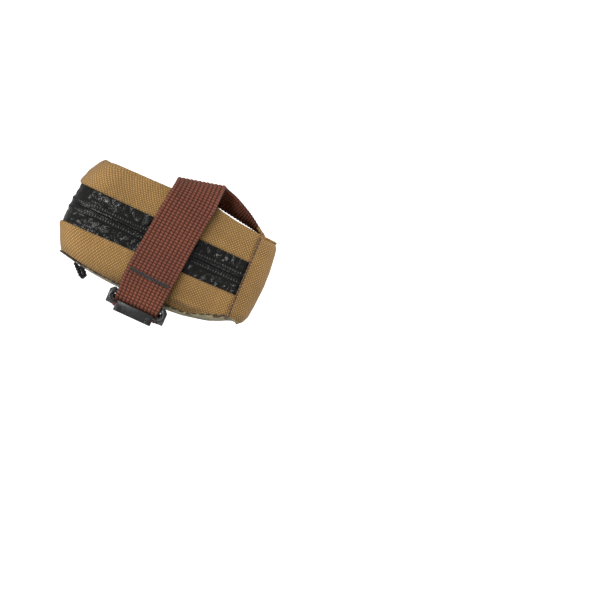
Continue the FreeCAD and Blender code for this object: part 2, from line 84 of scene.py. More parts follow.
# Height, rear, front and half width of the skin, from the top seam to the base.
PROFILE = np.array((
    (-1.5, TOP_LOW[0] + 1.6, TOP_HIGH[0] - 2.0, TOP_HIGH[1] - 0.6),
    (-4.5, TOP_LOW[0] - 0.6, TOP_HIGH[0] + 0.1, TOP_HIGH[1] + 0.3),
    (-11.0, TOP_LOW[0] - 3.6, FRONT_HIGH[0] - 1.7, SIDE_HIGH[1] - 0.7),
    (SIDE_LOW[2], SIDE_LOW[0], FRONT_HIGH[0] - 0.5, SIDE_HIGH[1]),
    (SPLIT_Z, SIDE_LOW[0] - 0.6, FRONT_HIGH[0], SIDE_HIGH[1]),
    (TAPE_LOW[2], TAPE_LOW[0] - 0.2, FRONT_HIGH[0] - 0.3, SIDE_HIGH[1]),
    (-47.0, TAPE_LOW[0] + 2.6, FRONT_HIGH[0] - 0.9, SIDE_HIGH[1] - 0.3),
    (FRONT_LOW[2], TAPE_LOW[0] + 5.2, FRONT_HIGH[0] - 3.4, SIDE_HIGH[1] - 1.3),
    (-57.0, TAPE_LOW[0] + 7.2, 44.0, SIDE_HIGH[1] - 3.4),
    (-60.5, TAPE_LOW[0] + 10.5, 40.0, SIDE_HIGH[1] - 7.5),
))[::-1]

FRONT_RUN = SIDE_HIGH[1] - FRONT_CORNER
FRONT_ARC = FRONT_CORNER * math.pi / 2
SIDE_RUN = (FRONT_HIGH[0] - FRONT_CORNER) - (SIDE_LOW[0] - 0.6 + REAR_CORNER)
REAR_ARC = REAR_CORNER * math.pi / 2
REAR_RUN = SIDE_HIGH[1] - REAR_CORNER
HALF_LOOP = FRONT_RUN + FRONT_ARC + SIDE_RUN + REAR_ARC + REAR_RUN
SEAM_AT = FRONT_RUN + FRONT_ARC + (FRONT_HIGH[0] - FRONT_CORNER - SEAM_X)


def seam_place(z, front):
    """Distance round the skin from the middle of the front to the front seam, which leans forward
    a little towards the base."""
    x = 41.3 - 1.3 * (z + 6.0) / 44.6
    past_corner = np.maximum(front - FRONT_CORNER - x, 0.0)
    turn = np.arccos(np.clip((x - front + FRONT_CORNER) / FRONT_CORNER, 0, 1))
    return FRONT_RUN + FRONT_CORNER * turn + past_corner


def outline(q, z, out=0.0):
    """Places on the skin: q runs from the middle of the front, minus on the right side and plus
    on the left, to the middle of the rear, with the front seams at SEAM_AT; out moves them off
    the skin. All in millimetres."""
    q, z, out = np.broadcast_arrays(np.asarray(q, float), np.asarray(z, float), np.asarray(out, float))
    rear = np.interp(z, PROFILE[:, 0], PROFILE[:, 1])
    front = np.interp(z, PROFILE[:, 0], PROFILE[:, 2])
    half = np.interp(z, PROFILE[:, 0], PROFILE[:, 3])
    seam = seam_place(z, front)
    along = np.abs(q)
    behind = along + (seam - SEAM_AT) * np.clip(1 - (along - SEAM_AT) / 40.0, 0, 1)
    along = np.where(along < SEAM_AT, along * seam / SEAM_AT, behind)
    side = np.where(q < 0, -1.0, 1.0)
    stops = np.cumsum((FRONT_RUN, FRONT_ARC, SIDE_RUN, REAR_ARC, REAR_RUN))
    fore = np.clip((along - stops[0]) / FRONT_ARC, 0, 1) * math.pi / 2
    back = np.clip((along - stops[2]) / REAR_ARC, 0, 1) * math.pi / 2
    run = np.clip((along - stops[1]) / SIDE_RUN, 0, 1)
    x_side = front - FRONT_CORNER + run * (rear + REAR_CORNER - front + FRONT_CORNER)
    in_front = along < stops[1]
    in_rear = along > stops[2]
    x = np.where(in_front, front - FRONT_CORNER + FRONT_CORNER * np.cos(fore), x_side)
    x = np.where(in_rear, rear + REAR_CORNER - REAR_CORNER * np.sin(back), x)
    y_front = np.minimum(along, stops[0]) / stops[0] * (half - FRONT_CORNER) + FRONT_CORNER * np.sin(fore)
    tail = np.clip((HALF_LOOP - along) / REAR_RUN, 0, 1)
    y_rear = tail * (half - REAR_CORNER) + REAR_CORNER * np.cos(back)
    y = np.where(in_front, y_front, np.where(in_rear, y_rear, half))
    normal_x = np.where(in_front, np.cos(fore), np.where(in_rear, -np.sin(back), 0.0))
    normal_y = np.where(in_front, np.sin(fore), np.where(in_rear, np.cos(back), 1.0))
    # The rear face is slightly round and the sides swell in the middle.
    rearward = np.clip((SEAM_X - x) / (SEAM_X - rear - REAR_CORNER), 0, 1)
    x = x + 0.7 * (y / half) ** 2 * rearward
    y = y - 0.9 * ((x + 5.0) / 52.0) ** 2 * normal_y
    place = np.stack((x + normal_x * out, side * (y + normal_y * out), z), axis=-1)
    return place


def wander(q, z, size, seed):
    """Soft random waves of about the given size, between minus one and one, the same each run."""
    chance = np.random.default_rng(seed)
    total = np.zeros(np.broadcast(q, z).shape)
    for _ in range(7):
        angle = chance.uniform(0, math.pi)
        pitch = size * chance.uniform(0.7, 1.6)
        total = total + np.sin((q * math.cos(angle) + z * math.sin(angle)) * 2 * math.pi / pitch
                               + chance.uniform(0, 2 * math.pi))
    return total / 4.0


def ease(value, low, high):
    t = np.clip((value - low) / (high - low), 0, 1)
    return t * t * (3 - 2 * t)


# ------------------------------------------------------------------ meshes

def add_object(name, data):
    piece = bpy.data.objects.new(name, data)
    bpy.context.scene.collection.objects.link(piece)
    return piece


def make_mesh(name, places, faces, slot, body=None, material=None, cloth=None, relief=None):
    """A smooth mesh from places in millimetres, in the slot's material unless another is given.
    cloth holds each vertex's place on the flat material, and relief how high it stands in the
    weave, for the materials."""
    mesh = bpy.data.meshes.new(name)
    mesh.from_pydata((np.asarray(places, float) * MM).tolist(), [], [list(face) for face in faces])
    mesh.validate()
    mesh.shade_smooth()
    if cloth is not None:
        layer = mesh.uv_layers.new(name="cloth")
        index = np.empty(len(mesh.loops), int)
        mesh.loops.foreach_get("vertex_index", index)
        layer.data.foreach_set("uv", np.asarray(cloth, np.float32)[index].ravel())
    if relief is not None:
        attribute = mesh.attributes.new("relief", "FLOAT", "POINT")
        attribute.data.foreach_set("value", np.asarray(relief, np.float32).ravel())
    piece = add_object(name, mesh)
    mesh.materials.append(material or LOOKS[slot])
    if body:
        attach(piece, body)
    return piece


def quads(rows, columns, start=0, flip=False, wrap_rows=False, wrap_columns=False):
    """Faces of a grid of vertices, numbered row by row."""
    faces = []
    for row in range(rows if wrap_rows else rows - 1):
        for column in range(columns if wrap_columns else columns - 1):
            a = start + row * columns + column
            b = start + row * columns + (column + 1) % columns
            c = start + ((row + 1) % rows) * columns + (column + 1) % columns
            d = start + ((row + 1) % rows) * columns + column
            faces.append((a, d, c, b) if flip else (a, b, c, d))
    return faces


def sweep(name, rings, cloth=None, relief=None, closed=False, **extra):
    """A solid swept through closed rings of vertices, with flat ends unless it is closed."""
    rings = np.asarray(rings, float)
    count, around, _ = rings.shape
    faces = quads(count, around, wrap_rows=closed, wrap_columns=True)
    if not closed:
        faces.append(tuple(range(around - 1, -1, -1)))
        faces.append(tuple((count - 1) * around + i for i in range(around)))
    flat = None if cloth is None else np.asarray(cloth, float).reshape(-1, 2)
    height = None if relief is None else np.asarray(relief, float).ravel()
    return make_mesh(name, rings.reshape(-1, 3), faces, cloth=flat, relief=height, **extra)


def sheet_solid(name, places, thickness, cloth, relief=None, closed=False, out=None, **extra):
    """A sheet of some thickness through a grid of places, with its first and last rows rounded
    over. out points away from the side that the thickness goes to."""
    places = np.asarray(places, float)
    along = np.gradient(places, axis=1)
    if closed:
        along = np.roll(places, -1, axis=1) - np.roll(places, 1, axis=1)
    down = np.gradient(places, axis=0)
    normal = np.cross(along, down)
    normal /= np.maximum(np.linalg.norm(normal, axis=2, keepdims=True), 1e-9)
    if out is not None and np.sum(normal * out) < 0:
        normal = -normal
    inner = places - normal * thickness
    down /= np.maximum(np.linalg.norm(down, axis=2, keepdims=True), 1e-9)
    bulge = thickness * 0.4
    edge_top = (places[:1] + inner[:1]) / 2 - down[:1] * bulge
    edge_low = (places[-1:] + inner[-1:]) / 2 + down[-1:] * bulge
    ring = np.concatenate((edge_top, places, edge_low, inner[::-1]), axis=0)
    flat = np.concatenate((cloth[:1], cloth, cloth[-1:], cloth[::-1]), axis=0)
    height = None
    if relief is not None:
        height = np.concatenate((relief[:1], relief, relief[-1:], relief[::-1] * 0), axis=0).transpose(1, 0)
    return sweep(name, ring.transpose(1, 0, 2), cloth=flat.transpose(1, 0, 2), relief=height,
                 closed=closed, **extra)


def skin_sheet(name, q, along, z, out, thickness, **extra):
    """A sheet that follows the skin; along is each column's place on the flat material."""
    places = outline(q + 0 * z, z, out)
    cloth = np.stack((along + 0 * z, z), axis=-1)
    outward = outline(q + 0 * z, z, out + 1) - places
    return sheet_solid(name, places, thickness, cloth, out=outward, **extra)


# ------------------------------------------------------------------ materials

class Shader:
    """A small hand for building a procedural material. Colours are linear."""

    def __init__(self, name, roughness=0.8, **sockets):
        self.material = bpy.data.materials.new(name)
        self.material.use_nodes = True
        self.tree = self.material.node_tree
        self.surface = self.tree.nodes["Principled BSDF"]
        self.surface.inputs["Roughness"].default_value = roughness
        for socket, value in sockets.items():
            self.surface.inputs[socket.replace("_", " ")].default_value = value

    def add(self, kind, **settings):
        node = self.tree.nodes.new(kind)
        for key, value in settings.items():
            setattr(node, key, value)
        return node

    def link(self, source, target):
        if isinstance(source, (int, float)):
            target.default_value = source
        else:
            self.tree.links.new(source, target)

    def math(self, operation, first, second=0.0, third=0.0):
        node = self.add("ShaderNodeMath", operation=operation)
        for source, target in zip((first, second, third), node.inputs):
            self.link(source, target)
        return node.outputs[0]

    def cloth(self):
        """Place on the flat material, in millimetres."""
        uv = self.add("ShaderNodeUVMap", uv_map="cloth")
        split = self.add("ShaderNodeSeparateXYZ")
        self.link(uv.outputs[0], split.inputs[0])
        return split.outputs[0], split.outputs[1]

    def noise(self, scale, detail=2.0, rough=0.5, distortion=0.0, vector=None):
        """Soft noise; scale is in patches per metre of the object."""
        node = self.add("ShaderNodeTexNoise")
        if vector is None:
            vector = self.add("ShaderNodeTexCoord").outputs["Object"]
        self.link(vector, node.inputs["Vector"])
        node.inputs["Scale"].default_value = scale
        node.inputs["Detail"].default_value = detail
        node.inputs["Roughness"].default_value = rough
        node.inputs["Distortion"].default_value = distortion
        return node.outputs["Fac"]

    def ramp(self, factor, stops, smooth=False):
        node = self.add("ShaderNodeValToRGB")
        if smooth:
            node.color_ramp.interpolation = "EASE"
        elements = node.color_ramp.elements
        while len(elements) < len(stops):
            elements.new(0.5)
        for element, (place, colour) in zip(elements, stops):
            element.position = place
            element.color = (*colour, 1.0) if isinstance(colour, tuple) else (colour, colour, colour, 1.0)
        self.link(factor, node.inputs[0])
        return node.outputs[0]

    def mix(self, factor, first, second, mode="MIX"):
        node = self.add("ShaderNodeMix", data_type="RGBA", blend_type=mode)
        self.link(factor, node.inputs[0])
        for source, target in ((first, node.inputs[6]), (second, node.inputs[7])):
            if isinstance(source, tuple):
                target.default_value = (*source, 1.0)
            else:
                self.link(source, target)
        return node.outputs[2]

    def colour(self, source, *shades):
        """Set the colour, darkened or lightened by each of the shades."""
        for shade in shades:
            source = self.mix(1.0, source, shade, "MULTIPLY")
        self.link(source, self.surface.inputs["Base Color"])

    def grained(self, scale, colour, dark, light):
        """Set a plain colour that varies finely between two shades of itself."""
        ends = [tuple(c * shade for c in colour) for shade in (dark, light)]
        self.colour(self.mix(self.noise(*scale), *ends))

    def rough(self, source):
        self.link(source, self.surface.inputs["Roughness"])

    def bump(self, height, depth, strength=1.0):
        """Raise the surface by a height, depth in millimetres."""
        node = self.add("ShaderNodeBump")
        node.inputs["Strength"].default_value = strength
        node.inputs["Distance"].default_value = depth * MM
        self.link(height, node.inputs["Height"])
        self.link(node.outputs[0], self.surface.inputs["Normal"])


def weave_height(shader, pitch):
    """Height of a plain weave, and which of its two yarns is on top."""
    u, v = shader.cloth()
    drift = shader.math("MULTIPLY", shader.noise(420.0, 1.0), 0.55)
    u = shader.math("ADD", shader.math("DIVIDE", u, pitch), drift)
    v = shader.math("SUBTRACT", shader.math("DIVIDE", v, pitch), drift)
    crest_u = shader.math("ABSOLUTE", shader.math("SINE", shader.math("MULTIPLY", u, math.pi)))
    crest_v = shader.math("ABSOLUTE", shader.math("SINE", shader.math("MULTIPLY", v, math.pi)))
    height = shader.math("POWER", shader.math("MULTIPLY", crest_u, crest_v), 0.6)
    cells = shader.math("ADD", shader.math("FLOOR", u), shader.math("FLOOR", v))
    over = shader.math("FLOORED_MODULO", cells, 2.0)
    return height, over


def woven(name, low, warp, weft, pitch, roughness=0.85, depth=0.22, sheen=0.25):
    """Plain-woven nylon: painted shade darkens it between the yarns, and its tone changes slowly at random.
    """
    shader = Shader(name, roughness=roughness, Sheen_Weight=sheen, Sheen_Roughness=0.5,
                    Specular_IOR_Level=0.3)
    height, over = weave_height(shader, pitch)
    yarn = shader.mix(over, warp, weft)
    # Painted shade: the low colour fills the gaps between the yarns.
    cloth = shader.mix(shader.ramp(height, ((0.1, 0.0), (0.75, 1.0))), low, yarn)
    patches = shader.ramp(shader.noise(45.0, 3.0), ((0.3, 0.86), (0.7, 1.08)))
    fuzz = shader.ramp(shader.noise(1500.0, 2.0), ((0.3, 0.9), (0.7, 1.07)))
    shader.colour(cloth, patches, fuzz)
    rough = shader.ramp(shader.noise(600.0), ((0.3, roughness - 0.07), (0.7, roughness + 0.06)))
    shader.rough(rough)
    shader.bump(height, depth)
    return shader.material


def camouflage(name, pitch):
    """The same cloth printed with blotches of olive, tan, brown and black, with painted shade between the
    yarns.
    """
    shader = Shader(name, roughness=0.85, Sheen_Weight=0.2, Specular_IOR_Level=0.3)
    height, over = weave_height(shader, pitch)
    olive, tan = (0.30, 0.27, 0.14), (0.42, 0.34, 0.18)
    brown, black = (0.10, 0.055, 0.025), (0.015, 0.014, 0.012)
    shift = shader.add("ShaderNodeMapping")
    shader.link(shader.add("ShaderNodeTexCoord").outputs["Object"], shift.inputs[0])
    shift.inputs["Location"].default_value = (0.31, 0.17, 0.05)
    fields = shader.ramp(shader.noise(70.0, 2.0, 0.55, 0.6), ((0.49, 0.0), (0.51, 1.0)))
    ground = shader.mix(fields, olive, tan)
    patches = shader.ramp(shader.noise(62.0, 2.5, 0.6, 0.9, shift.outputs[0]), ((0.55, 0.0), (0.57, 1.0)))
    spots = shader.ramp(shader.noise(105.0, 2.5, 0.6, 1.2, shift.outputs[0]), ((0.60, 0.0), (0.615, 1.0)))
    print_colour = shader.mix(spots, shader.mix(patches, ground, brown), black)
    # Painted shade: darker print between the yarns.
    shade = shader.ramp(height, ((0.1, 0.55), (0.75, 1.05)))
    yarn = shader.mix(over, (0.92, 0.92, 0.92), (1.05, 1.05, 1.05))
    shader.colour(print_colour, shade, yarn)
    shader.bump(height, 0.12)
    return shader.material


def webbing(name, dark, middle, crest, roughness=0.6):
    """Heavy ribbed webbing: the relief of the weave is in the mesh, and colours it: painted shade in the
    hollows and a painted highlight on the crests.
    """
    shader = Shader(name, roughness=roughness, Sheen_Weight=0.06, Sheen_Roughness=0.4,
                    Specular_IOR_Level=0.25)
    relief = shader.add("ShaderNodeAttribute", attribute_name="relief").outputs["Fac"]
    u = shader.cloth()[0]
    # Painted shade in the hollows of the weave and a painted highlight on its crests.
    cloth = shader.ramp(relief, ((0.05, dark), (0.5, middle), (1.0, crest)))
    slow = shader.ramp(shader.noise(60.0, 3.0), ((0.3, 0.84), (0.7, 1.12)))
    strands = shader.math("SINE", shader.math("MULTIPLY", u, 2 * math.pi / 0.26))
    fibre = shader.ramp(shader.noise(3000.0, 2.0), ((0.3, 0.86), (0.7, 1.1)))
    shader.colour(cloth, slow, fibre)
    shader.rough(shader.ramp(shader.noise(900.0), ((0.3, roughness - 0.08), (0.7, roughness + 0.1))))
    shader.bump(strands, 0.03)
    return shader.material


def laminate(name):
    """Glossy black film over the zipper tape: crinkled, dusty in places, with a painted grey highlight on the
    coil bumps and creases.
    """
    shader = Shader(name, roughness=0.2, Specular_IOR_Level=0.2)
    relief = shader.add("ShaderNodeAttribute", attribute_name="relief").outputs["Fac"]
    # Painted highlight: grey on the tops of the coil bumps and on the creases.
    bump_highlight = shader.math("MULTIPLY", shader.ramp(relief, ((0.70, 0.0), (0.98, 1.0))),
                        shader.ramp(shader.noise(90.0, 2.0), ((0.40, 0.1), (0.60, 1.0))))
    film = shader.mix(shader.noise(80.0, 3.0), (0.003, 0.003, 0.003), (0.010, 0.010, 0.009))
    shader.colour(shader.mix(shader.math("MULTIPLY", bump_highlight, 0.25), film, (0.22, 0.22, 0.21)))
    shader.rough(shader.ramp(shader.noise(140.0, 4.0, 0.6), ((0.3, 0.10), (0.7, 0.24))))
    shader.bump(shader.noise(650.0, 3.0, 0.55, 0.5), 0.22)
    return shader.material


def moulded(name, colour, roughness=0.35):
    """Moulded plastic or rubber with a fine grain."""
    shader = Shader(name, roughness=roughness, Specular_IOR_Level=0.5)
    shader.grained((300.0, 3.0), colour, 0.7, 1.4)
    shader.rough(shader.ramp(shader.noise(500.0, 3.0), ((0.3, roughness - 0.08), (0.7, roughness + 0.12))))
    shader.bump(shader.noise(2600.0, 2.0), 0.03)
    return shader.material


def thread(name, colour):
    """Twisted sewing thread."""
    shader = Shader(name, roughness=0.6, Sheen_Weight=0.2)
    shader.grained((2500.0, 2.0), colour, 0.6, 1.3)
    shader.bump(shader.noise(4000.0, 2.0), 0.05)
    return shader.material


# One material for each material slot.
LOOKS = {
    # The first colour of each woven cloth is painted shade between its yarns.
    "tan_nylon": woven("tan_nylon", (0.13, 0.075, 0.026), (0.52, 0.295, 0.098), (0.26, 0.142, 0.042), 0.85,
                       depth=0.18, sheen=0.08),
    "camo_nylon": camouflage("camo_nylon", 0.85),
    "lining_fabric": woven("lining_cloth", (0.02, 0.02, 0.02), (0.10, 0.10, 0.105), (0.075, 0.075, 0.08), 0.7,
                           depth=0.12),
    # Webbing colours: painted shade in the hollows, the webbing's own colour, and a painted highlight on the
    # crests.
    "strap_webbing": webbing("strap_webbing", (0.028, 0.007, 0.0045), (0.135, 0.036, 0.018),
                             (0.27, 0.085, 0.044)),
    "black_webbing": webbing("black_webbing", (0.004, 0.004, 0.004), (0.015, 0.015, 0.016),
                             (0.05, 0.05, 0.052)),
    "zip_laminate": laminate("zip_laminate"),
    "zip_coil": moulded("zip_coil", (0.02, 0.02, 0.02), 0.4),
    "buckle_plastic": moulded("buckle_plastic", (0.012, 0.012, 0.013), 0.3),
    "foam": moulded("foam", (0.05, 0.05, 0.052), 0.85),
    "elastic": moulded("elastic", (0.018, 0.018, 0.018), 0.75),
    "slider_metal": moulded("slider_metal", (0.055, 0.055, 0.058), 0.28),
    "grip_rubber": moulded("grip_rubber", (0.014, 0.014, 0.014), 0.5),
    "board": moulded("board", (0.16, 0.16, 0.155), 0.6),
    "black_thread": thread("black_thread", (0.010, 0.010, 0.011)),
}
SEAM_THREAD = thread("seam_thread", (0.040, 0.011, 0.006))


# ------------------------------------------------------------------ edges of the panels

def table(x, *points):
    """Straight interpolation through a few (x, value) points."""
    xs, values = zip(*points)
    return np.interp(x, xs, values)


def top_rim(place):
    """Height of the top seam: puffed up behind the strap, falling towards the front, and pressed
    down where a rail crosses the rear or the front."""
    x, y = place[..., 0], place[..., 1]
    rim = table(x, (-52, -2.1), (-14, -1.5), (14, -0.9), (25, -2.9), (39, -4.1), (52, -4.6))
    crossing = np.exp(-((np.abs(y) - 22.0) / 5.5) ** 2) * ease(np.abs(x), 42, 50)
    return rim + np.minimum(-4.2 - rim, 0) * crossing


def upper_hem(x):
    return -19.0 - 1.2 * (x + 58.0) / 100.0


def lower_hem(x):
    return -41.0 + 2.0 * (x + 58.0) / 100.0


def base_seam(x):
    """Height of the seam between the side panel and the base."""
    return table(x, (-58, -55.9), (-52, -57.0), (-44, -58.4), (-30, -59.6), (-12, -59.8), (10, -59.7),
                 (21, -59.0), (27, -56.8), (35, -53.5), (42.3, -50.7), (52, -52.6))


def side_columns(step):
    """Columns round the rear from the right seam to the left one, and their distance along it."""
    length = 2 * (HALF_LOOP - SEAM_AT)
    along = np.linspace(0, length, int(length / step) + 1)
    q = np.where(along <= length / 2, -(SEAM_AT + along), 2 * HALF_LOOP - SEAM_AT - along)
    return q, along


def pucker(along, from_seam, seed):
    """Small gathers beside a seam, dying away from it, in millimetres."""
    wave = np.sin(along * 2 * math.pi / 5.2 + 2.0 * wander(along, 0 * along, 31.0, seed))
    return 0.16 * wave * np.exp(-np.abs(from_seam) / 2.6)


def side_panel(name, low_edge, high_edge, body, node, swell, seed, extra=None):
    """One of the two tan bands: a sheet between two edge heights, swelling between them."""
    step = 0.8
    q, along = side_columns(step)
    x = outline(q, -30.0)[..., 0]
    low, high = low_edge(q, x), high_edge(q, x)
    rows = 34
    v = np.linspace(0, 1, rows)[:, None]
    z = low + (high - low) * v
    width = np.abs(high - low)
    from_hem = (v if node == "upper_side_panel" else 1 - v) * width
    # The hem beside the zipper stands out and is rolled under at its very edge.
    hem = 0.75 * (1 - ease(from_hem, 1.2, 6.0)) - 0.8 * (1 - ease(from_hem, 0, 1.1))
    out = swell * np.sin(np.pi * v) ** 0.7 + hem
    out = out + 0.30 * wander(along + 0 * v, z, 26.0, seed) * np.sin(np.pi * v) ** 0.5
    out = out + pucker(along + 0 * v, v * width, seed + 1) + pucker(along + 0 * v, (1 - v) * width, seed + 2)
    if extra is not None:
        out = out + extra(x + 0 * v, z, q + 0 * v)
    # The ends dip under the front panel's edge.
    ends = np.minimum(along, along[-1] - along)
    out = out - 0.9 * (1 - ease(ends, 0.0, 2.5))
    piece = skin_sheet(name, q, along, z, out, FABRIC, body=body, slot="tan_nylon")
    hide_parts(node)


def upper_panel():
    def high(q, x):
        return top_rim(outline(q, -2.0))

    def low(q, x):
        return upper_hem(x) + 0.12 * wander(q, 0 * q, 40.0, 5)

    def press(x, z, q):
        # The cloth draws in a little under the strap and bulges beside it.
        return -0.5 * np.exp(-((x - 1.0) / 14.0) ** 2) + 0.35 * np.exp(-((x - 24.0) / 9.0) ** 2)

    side_panel("upper_side_cloth", low, high, "upper", "upper_side_panel", 0.9, 11, press)


def lower_panel():
    def high(q, x):
        return lower_hem(x) + 0.12 * wander(q, 0 * q, 40.0, 6)

    def low(q, x):
        return base_seam(x)

    def folds(x, z, q):
        # A slack fold hangs over the lower edge ahead of the strap on each side.
        line = table(x, (4, -54.4), (10, -54.9), (22, -55.0), (28, -54.0), (38, -51.0))
        here = ease(x, 3, 8) * (1 - ease(x, 23, 31))
        above = z - line
        ridge = np.exp(-((above - 1.1) / 1.3) ** 2)
        tuck = 1 - ease(above, -0.6, 0.1)
        return here * (1.3 * ridge - 1.7 * tuck) - 0.4 * np.exp(-((x + 3.0) / 14.0) ** 2)

    side_panel("lower_side_cloth", low, high, "lower", "lower_side_panel", 0.9, 21, folds)


def loop_columns(step):
    count = int(2 * HALF_LOOP / step)
    return -HALF_LOOP + 2 * HALF_LOOP * np.arange(count) / count


def dish(name, rim, centre, height, thickness, **extra):
    """A closed panel inside a rim: rings shrink towards the centre, each at its own height."""
    share = np.concatenate((np.linspace(1, 0.86, 9)[:-1], np.linspace(0.86, 0.02, 26)))[:, None]
    flat = centre + (rim[None, :, :2] - centre) * share[..., None]
    z = height(flat[..., 0], flat[..., 1], share, rim[None, :, 2])
    places = np.concatenate((flat, z[..., None]), axis=-1)
    cloth = places[..., :2].copy()
    return sheet_solid(name, places, thickness, cloth, closed=True, **extra)


def top_cloth():
    q = loop_columns(1.0)
    rim = outline(q, top_rim(outline(q, -2.0)), -0.15)

    def height(x, y, share, edge):
        pressed = -4.3 + 0.12 * wander(x, y, 24.0, 31)
        return pressed + (edge - pressed) * ease(share, 0.74, 0.985)

    piece = dish("top_cloth", rim, np.array((-2.0, 0.0)), height, 0.9, body="upper", slot="tan_nylon",
                 out=UPWARD)
    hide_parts("top_panel")


def base_level(x):
    """Height of the base along its middle."""
    return table(x, (-54, -57.3), (-44, -59.2), (-34.5, -60.3), (-17, -61.0), (11, -61.4), (19.5, -60.8),
                 (25.5, -59.7), (33.5, -58.2), (39, -56.1), (45, -52.4), (52, -51.8))


def base_cloth():
    q = loop_columns(1.0)
    x = outline(q, -50.0)[..., 0]
    rim = outline(q, base_seam(x), -0.3)
    rim[..., 2] = base_seam(rim[..., 0])

    def height(x, y, share, edge):
        low = np.minimum(base_level(x), edge - 0.2) + 0.25 * wander(x, y, 22.0, 41) * (1 - share ** 2)
        return edge + (low - edge) * (1 - share ** 5) ** 0.62

    piece = dish("base_cloth", rim, np.array((-4.0, 0.0)), height, 0.9, body="lower", slot="camo_nylon",
                 out=-UPWARD)
    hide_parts("bottom_panel")


# ------------------------------------------------------------------ front panel and its seams

def front_cloth():
    """The soft front: one sheet from the top seam to the base, with a turned edge at each side."""
    q = np.linspace(-SEAM_AT - 0.6, SEAM_AT + 0.6, 150)
    x = outline(q, -30.0)[..., 0]
    v = np.linspace(0, 1, 64)[:, None]
    high = top_rim(outline(q, -3.0)) + 0.1
    low = base_seam(x) - 0.2
    z = low + (high - low) * v
    edge = SEAM_AT + 0.6 - np.abs(q)
    out = 0.45 + 0.75 * np.exp(-(edge / 1.6) ** 2) - 0.25 * np.exp(-((edge - 3.4) / 1.6) ** 2)
    out = out + 0.35 * wander(q + 0 * v, z, 24.0, 51) * np.sin(np.pi * v) ** 0.5
    out = out - 1.2 * (1 - ease(v, 0.0, 0.05)) - 1.4 * ease(v, 0.93, 1.0)
    piece = skin_sheet("front_cloth", q, q, z, out, FABRIC, slot="tan_nylon")
    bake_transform(piece)
    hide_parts("front_panel")


def capsules(name, spans, radius, body=None, material=None, sides=6):
    """Stitches: a short rounded rod for each pair of ends, in one mesh."""
    places, faces = [], []
    for start, end in spans:
        start, end = np.asarray(start, float), np.asarray(end, float)
        axis = (end - start) / np.linalg.norm(end - start)
        side = np.cross(axis, (0.31, 0.52, 0.79))
        side /= np.linalg.norm(side)
        other = np.cross(axis, side)
        cap = axis * radius * 0.6
        rings = ((start - cap, 0.35), (start, 1.0), (end, 1.0), (end + cap, 0.35))
        base = len(places)
        for spot, size in rings:
            for k in range(sides):
                angle = 2 * math.pi * k / sides
                places.append(spot + (side * math.cos(angle) + other * math.sin(angle)) * radius * size)
        faces += quads(len(rings), sides, start=base, wrap_columns=True)
        faces.append(tuple(base + k for k in range(sides - 1, -1, -1)))
        faces.append(tuple(base + (len(rings) - 1) * sides + k for k in range(sides)))
    return make_mesh(name, places, faces, "black_thread", body=body, material=material)


def front_seam(side, name):
    """Stitches down the edge of the front panel on one side."""
    pitch, length = 2.1, 1.45
    spans = []
    for z in np.arange(-6.0, -50.5, -pitch):
        q = side * (SEAM_AT + 0.35)
        spans.append((outline(q, z, 1.3), outline(q, z - length, 1.3)))
    piece = capsules(name, spans, 0.36, material=SEAM_THREAD)
    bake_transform(piece)


def base_stitches():
    """Stitches along the seam between the lower side cloth and the base."""
    pitch, length = 3.4, 2.0
    seam_run = 2 * (HALF_LOOP - SEAM_AT)

    def on_seam(along):
        q = -(SEAM_AT + along) if along <= seam_run / 2 else 2 * HALF_LOOP - SEAM_AT - along
        x = outline(q, -55.0)[0]
        return outline(q, base_seam(x) + 0.3, 0.85)

    starts = np.arange(2.0, seam_run - length - 2.0, pitch)
    spans = [(on_seam(along), on_seam(along + length)) for along in starts]
    capsules("base_stitches", spans, 0.34, body="lower")


# ------------------------------------------------------------------ zipper

def zip_tape(side, name, node, body):
    """Laminated tape on one side of the slit: the coil behind shows as a row of small bumps.
    side is 1 above the slit and -1 below it."""
    q, along = side_columns(0.30)
    x = outline(q, -30.0)[..., 0]
    far = upper_hem(x) + 1.6 if side > 0 else lower_hem(x) - 1.6
    near = SPLIT_Z + side * 0.22
    v = np.concatenate((np.linspace(0, 0.42, 17), np.linspace(0.42, 1, 12)[1:]))[:, None]
    z = near + (far - near) * v
    from_slit = np.abs(z - near)
    teeth = 0.5 + 0.5 * np.cos(2 * math.pi * (along / COIL_PITCH + (0.25 if side > 0 else 0.0)))
    ridge = np.exp(-((from_slit - 2.2) / 0.85) ** 2)
    shape = ridge * (0.45 + 0.55 * teeth)
    # Film over the coil lies high by the slit, dips beside the bumps and creases towards the seam.
    crease = np.clip(wander(along + 0 * v, z * 0.8, 5.0, 61 + side), -1, 1) ** 2
    folds = 0.38 * crease * ease(from_slit, 2.8, 4.6)
    out = -0.75 + 0.40 * (1 - ease(from_slit, 3.0, 4.4)) + 0.45 * shape + folds
    out = out + 0.22 * wander(along + 0 * v, z, 34.0, 65)
    ends = np.minimum(along, along[-1] - along)
    out = out - 0.5 * (1 - ease(ends, 0.0, 3.0))
    # The relief also sets where the film's material paints a grey highlight.
    relief = np.maximum(shape, 0.9 * crease * ease(from_slit, 3.5, 5.0))
    piece = skin_sheet(name, q, along, z, out, THIN, relief=relief, body=body, slot="zip_laminate")
    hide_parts(node)


def zip_coil(side, name, node, body):
    """One row of the coil inside the tape: a flattened spiral of thick thread."""
    q, along = side_columns(0.125)
    keep = (along > 3.0) & (along < along[-1] - 3.0)
    q, along = q[keep], along[keep]
    turn = 2 * math.pi * along / COIL_PITCH
    height = SPLIT_Z + side * (1.75 + 1.05 * np.cos(turn))
    depth = -2.3 + 0.42 * np.sin(turn)
    line = outline(q, height, depth)
    rings = tube_rings(line, 0.24, 5)
    piece = sweep(name, rings, body=body, slot="zip_coil")
    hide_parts(node)


